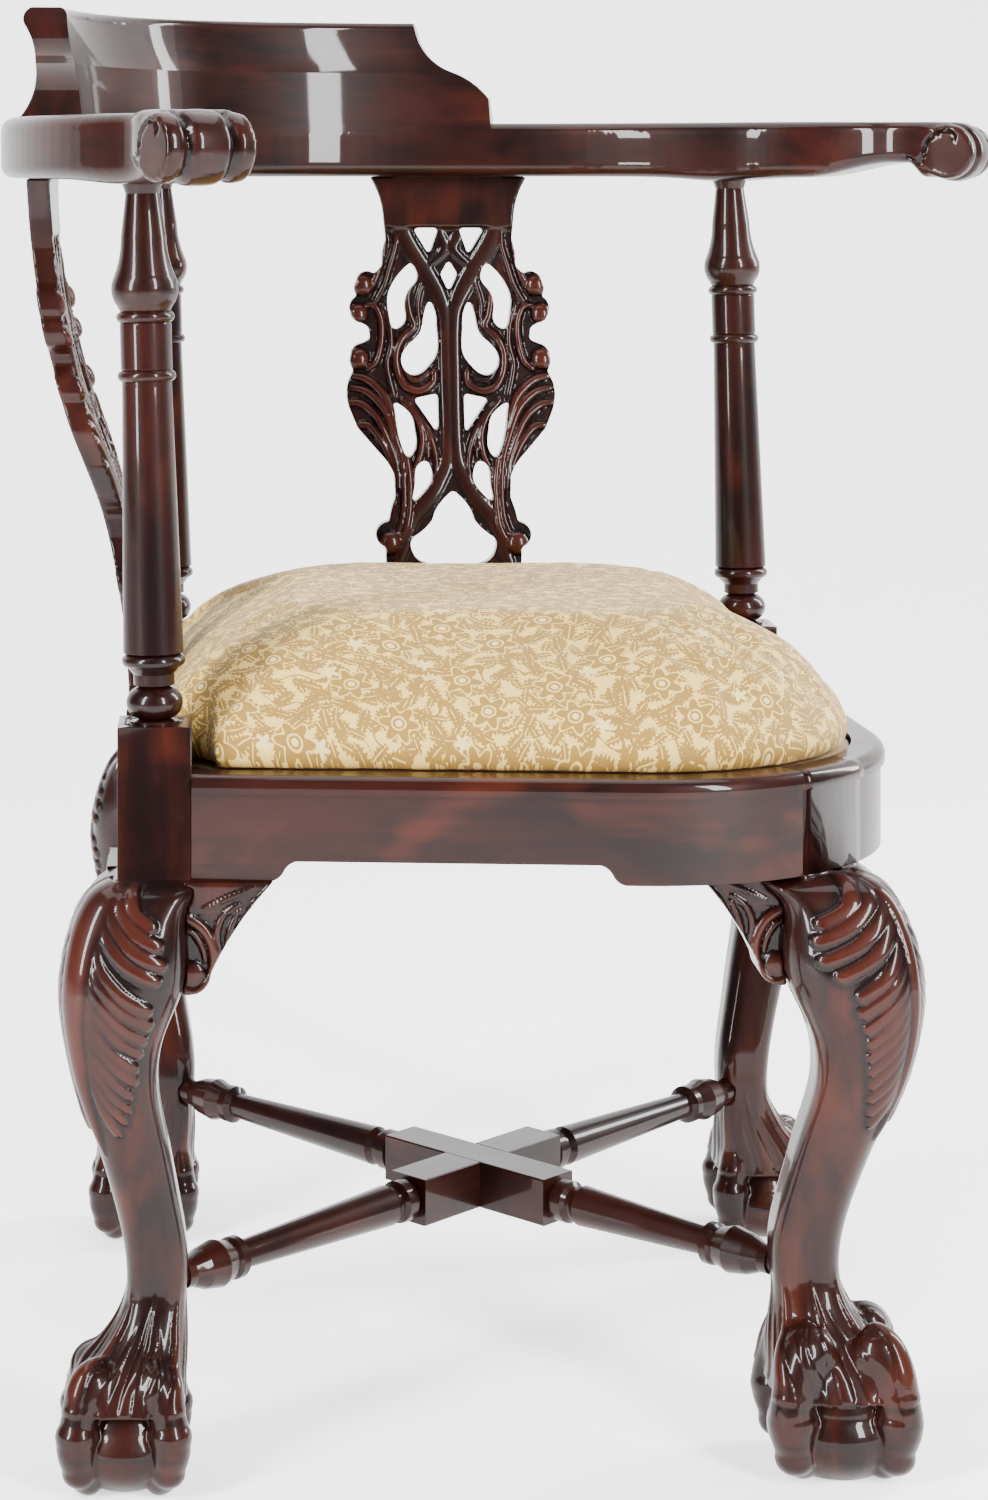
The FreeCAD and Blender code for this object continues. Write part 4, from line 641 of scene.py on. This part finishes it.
LEAF = [
    [(67, -138, 2.6, 2.6), (57, -141, 3.2, 3.6), (46, -152, 3.4, 4), (38.6, -170, 3.2, 4),
     (32.5, -188, 3, 3.8),
     (29.6, -206, 2.8, 3.4), (29.6, -223, 2.8, 3.2), (31.6, -238, 2.8, 3), (36, -248, 2.6, 2.6)],
    [(69, -146, 2.4, 2.4), (58, -149, 3, 3.4), (47, -160, 3.2, 3.6), (40, -177, 3, 3.4), (35, -194, 2.6, 3),
     (33.4, -212, 2.4, 2.6), (34.6, -232, 2.4, 2.4), (39, -244, 2.2, 2)],
    [(71, -156, 2.8, 2.6), (62, -157, 3, 3.2), (51.6, -166, 3, 3.4), (43.6, -182, 2.8, 3.2),
     (38.6, -197, 2.4, 2.6),
     (37, -213, 2, 2)],
    [(64.5, -171, 2.8, 2.6), (57, -172, 3, 3), (48.6, -182, 2.8, 2.8), (42, -196, 2.4, 2.2),
     (39, -208, 1.8, 1.6)],
    [(43.5, -250, 8.2, 5.5)]]
FOOT_LEAVES = [
    [(34, -154, 2.2, 1.8), (25, -165, 2.4, 2.4), (20.5, -177, 2.6, 2.8), (21.5, -190, 2.6, 2.8),
     (25.5, -201, 2.4, 2.4), (27, -216, 2, 1.8)],
    [(28, -158, 1.8, 1.4), (18.6, -171, 2.2, 2.2), (13.4, -183, 2.4, 2.6), (11, -195, 2.2, 2.4),
     (12, -206, 1.6, 1.6)],
    [(23, -170, 1.4, 1.4), (17.4, -181, 1.8, 2), (16.6, -192, 1.6, 1.8)]]


# The carving's upper and lower end, from the arm's underside, and how deep its ground lies
CARVING = (-34, -300)
SPLAT_GROUND = 2.6
SPLAT_VOXEL = 0.0013


def carved_splat(side, turn):
    """A splat with its seat side carved; its back stays flat."""
    data = even(frame_mesh(f"{side}_splat"), SPLAT_VOXEL, 1)
    points, normals = points_of(data)
    out = np.array((-math.sin(math.radians(turn)), math.cos(math.radians(turn)), 0))
    across = np.array((math.cos(math.radians(turn)), math.sin(math.radians(turn)), 0))
    middle = np.array((0, SEAT_Y * 1000, 0))
    level = points[:, 2] - ARM_BOTTOM
    places = np.stack([np.abs((points - middle) @ across), level], 1)
    height, near = relief(places, STRAPS + SIDE_SCROLLS + ONION + LEAF + FOOT_LEAVES)
    facing = ease(0.45, 0.85, -normals @ out)
    carved = ease(0, 4, CARVING[0] - level) * ease(0, 4, level - CARVING[1])
    sunk = SPLAT_GROUND * carved
    height = height * carved
    moved = points - out * ((height - sunk) * facing)[:, None]
    # Painted shade beside the carved lines on the seat side and a painted highlight on their tops
    carve(data, points, moved, height * facing,
          np.where((facing > 0.2) & (carved > 0.3), near, FAR_OFF), 3.2)
    return data


for side, turn in (("left", 45), ("right", -45)):
    show(f"carved_{side}_splat", carved_splat(side, turn),
         mahogany(f"mahogany_{side}_splat", "up", 0.45, carved=True), f"{side}_splat")


# Arms and crest

# The middle of the right arm's scroll, in millimetres, and the arm's turn there
SCROLL_MIDDLE = np.array((357.756, -127.935, 737))
SCROLL_TURN = math.radians(16)
# Half the width of the middle lobe, the middle of the outer ones, and the grooves between them
LOBE_EDGE = 13
OUTER_LOBE = 19.5
LOBE_GROOVE = 3.2
LOBE_ROUND = 1.2
ARM_TOP = 757
ARM_VOXEL = 0.00145
# How much thinner an arm gets before its scroll, and how far it swells over its column
THINNER = 0.26
SWELL = 3.2
SWELL_REACH = 34
COLUMN = np.array((275.772, BOW_Y * 1000))
# The groove that winds into the scroll's side, as (along the arm, up) from the scroll's middle
SCROLL_GROOVE = [(-27, -12, 1.1, 1.4), (-19, -9.5, 1.3, 1.8), (-15.5, -3, 1.4, 2), (-13.5, 5.5, 1.4, 2),
                 (-7.5, 12.4, 1.4, 2), (1, 14, 1.3, 1.8), (5.5, 11, 1.2, 1.6), (4.6, 7.6, 1, 1)]


def carved_arm(side):
    """An arm that thins towards its scroll; three lobes lie across the scroll."""
    data = even(frame_mesh(f"{side}_arm"), ARM_VOXEL, 1)
    points, normals = points_of(data)
    mirror = np.array((1 if side == "right" else -1, 1, 1))
    axis = np.array((math.cos(SCROLL_TURN), math.sin(SCROLL_TURN), 0))
    ahead = np.array((math.sin(SCROLL_TURN), -math.cos(SCROLL_TURN), 0))
    local = points * mirror - SCROLL_MIDDLE
    across, along, up = local @ axis, local @ ahead, local[:, 2]
    # The underside rises before the scroll and swells over the column
    moved = points * mirror
    thin = THINNER * ease(-85, -34, along) * (1 - ease(-26, -15, along)) * (np.abs(across) < 60)
    thin[np.hypot(*(moved[:, :2] - SCROLL_MIDDLE[:2]).T) > 100] = 0
    moved[:, 2] = ARM_TOP - (ARM_TOP - moved[:, 2]) * (1 - thin)
    swell = SWELL * np.exp(-(np.hypot(*(moved[:, :2] - COLUMN).T) / SWELL_REACH) ** 2)
    moved[:, 2] -= swell * (1 - ease(722, 738, moved[:, 2]))
    # Lobes across the roll
    radius = np.maximum(np.hypot(along, up), 1)
    groove = LOBE_GROOVE * np.exp(-((np.abs(across) - LOBE_EDGE) / 2.6) ** 2)
    groove += LOBE_ROUND * np.where(np.abs(across) < LOBE_EDGE, across / LOBE_EDGE,
                                    (np.abs(across) - OUTER_LOBE) / (OUTER_LOBE - LOBE_EDGE)) ** 2
    on_roll = ease(-13, -5, along) * ease(14, 17, radius) * (np.hypot(across, radius) < 40)
    spoke = (along / radius)[:, None] * ahead + (up / radius)[:, None] * np.array((0, 0, 1))
    moved -= spoke * (groove * on_roll)[:, None]
    # The groove in both sides of the scroll
    line, near = relief(np.stack([along, up], 1), [SCROLL_GROOVE])
    sides = ease(0.6, 0.9, np.abs((normals * mirror) @ axis)) * (np.hypot(across, radius) < 45)
    moved -= np.sign(across)[:, None] * axis * (line * sides)[:, None]
    # Painted shade in the groove on the scroll's sides and in the grooves between the lobes; the arm gets
    # no painted highlight
    painted_shade = np.maximum(sides * (1 - ease(0.7, 1.4, near)), on_roll * np.clip(groove - 2, 0, 1))
    data.vertices.foreach_set("co", (moved * mirror / 1000).ravel())
    mark(data, "painted_shade", 0.9 * painted_shade)
    mark(data, "painted_highlight", np.zeros(len(points)))
    data.update()
    return data


ARMS = mahogany("mahogany_bow", "bow", 0.2, carved=True)
for side in ("left", "right"):
    show(f"carved_{side}_arm", carved_arm(side), ARMS, f"{side}_arm")

dress(["crest_rail"], mahogany("mahogany_crest", "bow", 0.2))
dress(["left_column", "right_column", "back_column"], mahogany("mahogany_columns", "up", 0.5))
dress(["back_left_rail", "front_right_rail", "left_splat_shoe"], mahogany("mahogany_rails_rising", 45))
dress(["back_right_rail", "front_left_rail", "right_splat_shoe"], mahogany("mahogany_rails_falling", -45))
dress(["side_stretcher"], mahogany("mahogany_side_stretcher", 0, 0.3))
dress(["front_back_stretcher"], mahogany("mahogany_long_stretcher", 90, 0.3))


# Slip seat


def plain_material(name, colour, roughness, metallic=0.0, grain=0.3, scale=60):
    """A matt stuff whose colour varies a little."""
    material, tree, shader = new_material(name)
    place = tree.nodes.new("ShaderNodeTexCoord").outputs["Object"]
    tone = noise(tree, place, scale, 3)
    dark = tuple(part * (1 - grain) for part in colour)
    tree.links.new(blended(tree, tone, dark, colour), shader.inputs["Base Color"])
    shader.inputs["Roughness"].default_value = roughness
    shader.inputs["Metallic"].default_value = metallic
    return material


RAW_WOOD = {"Dark": (0.3, 0.19, 0.1), "Middle": (0.46, 0.31, 0.17), "Light": (0.55, 0.4, 0.24)}


def raw_wood(name, way):
    """Unpolished pale wood inside the seat."""
    material = mahogany(name, way, 0.2)
    tree_nodes = material.node_tree.nodes
    shader = tree_nodes["Principled BSDF"]
    shader.inputs["Coat Weight"].default_value = 0
    shader.inputs["Specular IOR Level"].default_value = 0.2
    grain = next(node for node in tree_nodes if node.type == "GROUP")
    for socket, colour in RAW_WOOD.items():
        grain.inputs[socket].default_value = (*colour, 1)
    return material


# The damask's drawing: how many flowers and leaves lie along a metre, and sizes in metres
FLOWERS_PER_METRE = 22
FLOWER = (6, 0.0104, 0.003)
BLOSSOMS_PER_METRE = 15
BLOSSOM = (5, 0.0044, 0.0016)
LARGE_LEAVES = (64, (0.3, 0.1, 0), 0.0115, 0.005)
SMALL_LEAVES = (92, (0.7, 0.4, 0), 0.0082, 0.0036)
LEAF_TEETH = 2100.0
VEIN = 0.0004
# Its colours, each from the weave's dark to its light
GROUND = ((0.5, 0.32, 0.07), (0.68, 0.47, 0.13))
GOLD = ((0.17, 0.09, 0.005), (0.29, 0.16, 0.014))
PALE = (0.6, 0.46, 0.18)


def flat_cells(tree, vector, per_metre, shake, offset=(0, 0, 0)):
    """The way from the nearest of many scattered points as (x, y), and a random number for it."""
    moved = tree.nodes.new("ShaderNodeVectorMath")
    moved.operation = "ADD"
    moved.inputs[1].default_value = offset
    tree.links.new(vector, moved.inputs[0])
    cells = tree.nodes.new("ShaderNodeTexVoronoi")
    cells.voronoi_dimensions = "2D"
    cells.inputs["Scale"].default_value = per_metre
    cells.inputs["Randomness"].default_value = shake
    tree.links.new(moved.outputs[0], cells.inputs["Vector"])
    away = tree.nodes.new("ShaderNodeVectorMath")
    away.operation = "SUBTRACT"
    tree.links.new(moved.outputs[0], away.inputs[0])
    tree.links.new(cells.outputs["Position"], away.inputs[1])
    parts = tree.nodes.new("ShaderNodeSeparateXYZ")
    tree.links.new(away.outputs[0], parts.inputs[0])
    tint = tree.nodes.new("ShaderNodeSeparateColor")
    tree.links.new(cells.outputs["Color"], tint.inputs[0])
    return parts.outputs[0], parts.outputs[1], tint.outputs[0]


def petals(tree, x, y, count, radius, depth):
    """The way from a flower's middle, the reach of its round petals there, and 1 inside them."""
    squares = maths(tree, "ADD", maths(tree, "MULTIPLY", x, x), maths(tree, "MULTIPLY", y, y))
    out = maths(tree, "SQRT", squares)
    turn = maths(tree, "MULTIPLY", maths(tree, "ARCTAN2", y, x), float(count))
    edge = maths(tree, "ADD", maths(tree, "MULTIPLY", maths(tree, "COSINE", turn), depth), radius)
    return out, edge, maths(tree, "LESS_THAN", out, edge)


def leaves(tree, vector, per_metre, offset, length, width):
    """1 inside pointed leaves that lie in all directions, 0 on their middle veins."""
    x, y, tint = flat_cells(tree, vector, per_metre, 0.8, offset)
    turn = maths(tree, "MULTIPLY", tint, 2 * math.pi)
    cosine, sine = maths(tree, "COSINE", turn), maths(tree, "SINE", turn)
    along = maths(tree, "ADD", maths(tree, "MULTIPLY", x, cosine), maths(tree, "MULTIPLY", y, sine))
    aside = maths(tree, "SUBTRACT", maths(tree, "MULTIPLY", y, cosine), maths(tree, "MULTIPLY", x, sine))
    aside = maths(tree, "ABSOLUTE", aside)
    share = maths(tree, "DIVIDE", along, length)
    taper = maths(tree, "SUBTRACT", 1.0, maths(tree, "MULTIPLY", share, share))
    teeth = maths(tree, "SINE", maths(tree, "MULTIPLY", along, LEAF_TEETH))
    notches = maths(tree, "ADD", maths(tree, "MULTIPLY", teeth, 0.22), 0.8)
    edge = maths(tree, "MULTIPLY", maths(tree, "MULTIPLY", taper, notches), width)
    inside = maths(tree, "LESS_THAN", aside, edge)
    return maths(tree, "MULTIPLY", inside, maths(tree, "GREATER_THAN", aside, VEIN))


def make_damask():
    """Stems with leaves and flowers: 1 on the pattern; pale small blossoms and the weave apart."""
    tree, given, put = new_group("damask", [("NodeSocketVector", "Vector", (0, 0, 0))],
                                 [("NodeSocketFloat", "Pattern"), ("NodeSocketFloat", "Blossom"),
                                  ("NodeSocketFloat", "Weave")])
    vector = given.outputs["Vector"]
    x, y, _ = flat_cells(tree, vector, FLOWERS_PER_METRE, 0.6)
    out, edge, flower = petals(tree, x, y, *FLOWER)
    eye = maths(tree, "LESS_THAN", out, 0.0024)
    ring = maths(tree, "LESS_THAN", maths(tree, "ABSOLUTE", maths(tree, "SUBTRACT", out, 0.0046)), 0.0007)
    flower = maths(tree, "SUBTRACT", flower, ring, True)
    clear = maths(tree, "GREATER_THAN", out, maths(tree, "ADD", edge, 0.0016))
    slow = noise(tree, vector, 30, 1, 0.5, 0.8)
    stem = maths(tree, "LESS_THAN", maths(tree, "ABSOLUTE", maths(tree, "SUBTRACT", slow, 0.5)), 0.011)
    large = leaves(tree, vector, *LARGE_LEAVES)
    growth = maths(tree, "MAXIMUM", large, leaves(tree, vector, *SMALL_LEAVES))
    growth = maths(tree, "MULTIPLY", maths(tree, "MAXIMUM", growth, stem), clear)
    tree.links.new(maths(tree, "MAXIMUM", growth, flower), put.inputs["Pattern"])
    small_x, small_y, _ = flat_cells(tree, vector, BLOSSOMS_PER_METRE, 0.9, (0.2, 0.6, 0))
    _, _, small = petals(tree, small_x, small_y, *BLOSSOM)
    small = maths(tree, "MULTIPLY", small, clear)
    tree.links.new(maths(tree, "MAXIMUM", small, eye), put.inputs["Blossom"])
    tree.links.new(noise(tree, scaled(tree, vector, (1, 2.6, 1)), 900, 1), put.inputs["Weave"])
    return tree


def damask_cloth():
    """Cream cloth with a gold floral damask, a common traditional pattern."""
    material, tree, shader = new_material("floral_damask")
    pattern = tree.nodes.new("ShaderNodeGroup")
    pattern.node_tree = make_damask()
    tree.links.new(kept(tree, "cloth", "Vector"), pattern.inputs["Vector"])
    weave = pattern.outputs["Weave"]
    ground = blended(tree, weave, *GROUND)
    cloth = blended(tree, pattern.outputs["Pattern"], ground, blended(tree, weave, *GOLD))
    cloth = blended(tree, pattern.outputs["Blossom"], cloth, PALE)
    tree.links.new(cloth, shader.inputs["Base Color"])
    shader.inputs["Roughness"].default_value = 0.75
    shader.inputs["Sheen Weight"].default_value = 0.1
    height = maths(tree, "SUBTRACT", maths(tree, "MULTIPLY", weave, 0.8), pattern.outputs["Pattern"])
    bumped(tree, shader, height, 0.35)
    return material


# The cushion's stuffing, in metres: how far in the cloth starts, how far it may move, below
# which height it is held, and over which rise the inset and the freedom grow
INSET = 0.004
FREEDOM = 0.007
HELD_BELOW = 0.404
INSET_RISE = 0.03
FREEDOM_RISE = 0.036
PRESSURE = 4
FRAMES = 20


def blown(thing, start):
    """Where the cloth's points end when the stuffing presses on it, each kept near its start."""
    held = thing.vertex_groups.new(name="held")
    held.add([int(item) for item in np.nonzero(start[:, 2] < HELD_BELOW)[0]], 1.0, "REPLACE")
    cloth = thing.modifiers.new("stuffing", "CLOTH")
    cloth.settings.vertex_group_mass = "held"
    cloth.settings.use_pressure = True
    cloth.settings.uniform_pressure_force = PRESSURE
    cloth.settings.effector_weights.gravity = 0
    cloth.settings.quality = 5
    for number in range(1, FRAMES + 1):
        bpy.context.scene.frame_set(number)
    graph = bpy.context.evaluated_depsgraph_get()
    ends = np.empty(start.size)
    thing.evaluated_get(graph).data.vertices.foreach_get("co", ends)
    step = ends.reshape(-1, 3) - start
    far = np.maximum(np.linalg.norm(step, axis=1), 1e-9)
    limit = FREEDOM * (0.2 + 0.8 * ease(HELD_BELOW, HELD_BELOW + FREEDOM_RISE, start[:, 2]))
    step *= (np.minimum(far, limit) / far)[:, None]
    thing.modifiers.remove(cloth)
    bpy.context.scene.frame_set(1)
    return start + step


def lay_flat(data):
    """Keep where each point lies on the cloth; the sides' drop counts as reach from the middle."""
    places, _ = points_of(data)
    reach = places[:, :2] / 1000 - np.array((0, SEAT_Y))
    length = np.maximum(np.linalg.norm(reach, axis=1), 1e-6)
    drop = np.maximum(places[:, 2].max() - places[:, 2], 0) / 1000
    flat = np.zeros((len(places), 3), np.float32)
    flat[:, :2] = reach * (1 + 0.8 * drop / length)[:, None]
    data.attributes.new("cloth", "FLOAT_VECTOR", "POINT").data.foreach_set("vector", flat.ravel())


def stuffed_seat(voxel=0.0046):
    """The cushion, blown up a little as cloth over its stuffing; its skirt is held in the rim."""
    data = even(frame_mesh("seat_cushion"), voxel, 1)
    points, normals = points_of(data)
    points /= 1000
    thing = bpy.data.objects.new("stuffed_seat", data)
    bpy.context.scene.collection.objects.link(thing)
    inset = INSET * ease(HELD_BELOW, HELD_BELOW + INSET_RISE, points[:, 2])
    start = points - normals * inset[:, None]
    data.vertices.foreach_set("co", start.ravel())
    data.vertices.foreach_set("co", blown(thing, start).ravel())
    data.update()
    lay_flat(data)
    data.materials.clear()
    data.materials.append(damask_cloth())
    thing.vertex_groups.clear()
    finer = thing.modifiers.new("finer", "SUBSURF")
    finer.levels = 1
    finer.render_levels = 1
    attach(thing, "slip_seat")
    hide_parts("seat_cushion")
    smooth(thing, 180)


stuffed_seat()
dress([f"{side}_corner_block" for side in FEET], raw_wood("raw_corner_blocks", "up"))
dress(["seat_board_back_left", "seat_board_front_right"], raw_wood("raw_boards_rising", 45))
dress(["seat_board_back_right", "seat_board_front_left"], raw_wood("raw_boards_falling", -45))
STEEL = plain_material("steel", (0.56, 0.55, 0.52), 0.3, 1, 0.15, 300)
JUTE = plain_material("jute", (0.42, 0.31, 0.17), 0.9, 0, 0.5, 900)
LINING = plain_material("black_lining", (0.02, 0.02, 0.022), 0.95, 0, 0.4, 1200)
dress(["corner_block_screws", "crest_screws"], STEEL)
dress(["webbing"], JUTE)
dress(["dust_cover"], LINING)


# Floor, light and camera


def backdrop(start=-5.0, bend=1.8, radius=1.6, top=5.0, half_width=7.0, steps=16):
    """A pale floor that curves up behind the chair."""
    profile = [(start, 0)] + [(bend + radius * math.sin(turn), radius - radius * math.cos(turn))
                              for turn in (step / steps * math.pi / 2 for step in range(steps + 1))]
    profile.append((bend + radius, top))
    ahead = Vector((math.cos(HEADING), math.sin(HEADING), 0))
    aside = Vector((math.sin(HEADING), -math.cos(HEADING), 0))
    mesh = bmesh.new()
    rows = [[mesh.verts.new(ahead * reach + aside * side * half_width + Vector((0, 0, height)))
             for side in (-1, 1)] for reach, height in profile]
    for (a, b), (c, d) in zip(rows, rows[1:]):
        mesh.faces.new((a, b, d, c))
    bmesh.ops.recalc_face_normals(mesh, faces=mesh.faces)
    data = bpy.data.meshes.new("backdrop")
    mesh.to_mesh(data)
    mesh.free()
    thing = bpy.data.objects.new("backdrop", data)
    bpy.context.scene.collection.objects.link(thing)
    material, _, shader = new_material("pale_backdrop")
    shader.inputs["Base Color"].default_value = (0.9, 0.9, 0.9, 1)
    shader.inputs["Roughness"].default_value = 0.8
    shader.inputs["Emission Color"].default_value = (1, 1, 1, 1)
    shader.inputs["Emission Strength"].default_value = 1.2
    data.materials.append(material)
    smooth(thing, 60)


def softbox(name, place, target, size, power):
    """A large soft light that faces a target."""
    data = bpy.data.lights.new(name, "AREA")
    data.shape = "RECTANGLE"
    data.size = size[0]
    data.size_y = size[1]
    data.energy = power
    lamp = bpy.data.objects.new(name, data)
    bpy.context.scene.collection.objects.link(lamp)
    lamp.location = place
    lamp.rotation_euler = (Vector(target) - Vector(place)).to_track_quat("-Z", "Y").to_euler()


# Where the photograph was taken from, fitted to points of the chair, and its frame in pixels
PHOTO_HEIGHT = 1500
FOCUS = 3232
EYE = Vector((-1.5238, -1.3170, 0.7281))
HEADING = math.radians(45)
# The photograph's uprights are parallel, so the camera is level and its lens shifted
SHIFT = (0.1773, -0.39)


def camera():
    """A camera where the photograph was taken from."""
    data = bpy.data.cameras.new("camera")
    data.sensor_fit = "VERTICAL"
    data.sensor_height = 36
    data.lens = data.sensor_height * FOCUS / PHOTO_HEIGHT
    data.shift_x, data.shift_y = SHIFT
    data.clip_end = 100
    thing = bpy.data.objects.new("camera", data)
    bpy.context.scene.collection.objects.link(thing)
    aim = Vector((math.cos(HEADING), math.sin(HEADING), 0))
    thing.location = EYE
    thing.rotation_euler = aim.to_track_quat("-Z", "Y").to_euler()
    bpy.context.scene.camera = thing


backdrop()
for name, place, target, size, power in (
        ("left_strip", (-2.4, 0.1, 1.5), (0, 0, 0.45), (0.4, 2.2), 190),
        ("front_strip", (-0.5, -2.8, 1.7), (0, 0, 0.45), (0.45, 2.2), 210),
        ("right_strip", (2.2, -1.0, 1.6), (0, 0, 0.5), (0.45, 2.0), 130),
        ("overhead", (0.3, 0.5, 3.0), (0.2, 0.3, 0.2), (2.4, 2.4), 80)):
    softbox(name, place, target, size, power)
world = bpy.data.worlds.new("studio")
world.use_nodes = True
world.node_tree.nodes["Background"].inputs["Color"].default_value = (1, 1, 1, 1)
world.node_tree.nodes["Background"].inputs["Strength"].default_value = 0.05
bpy.context.scene.world = world
camera()
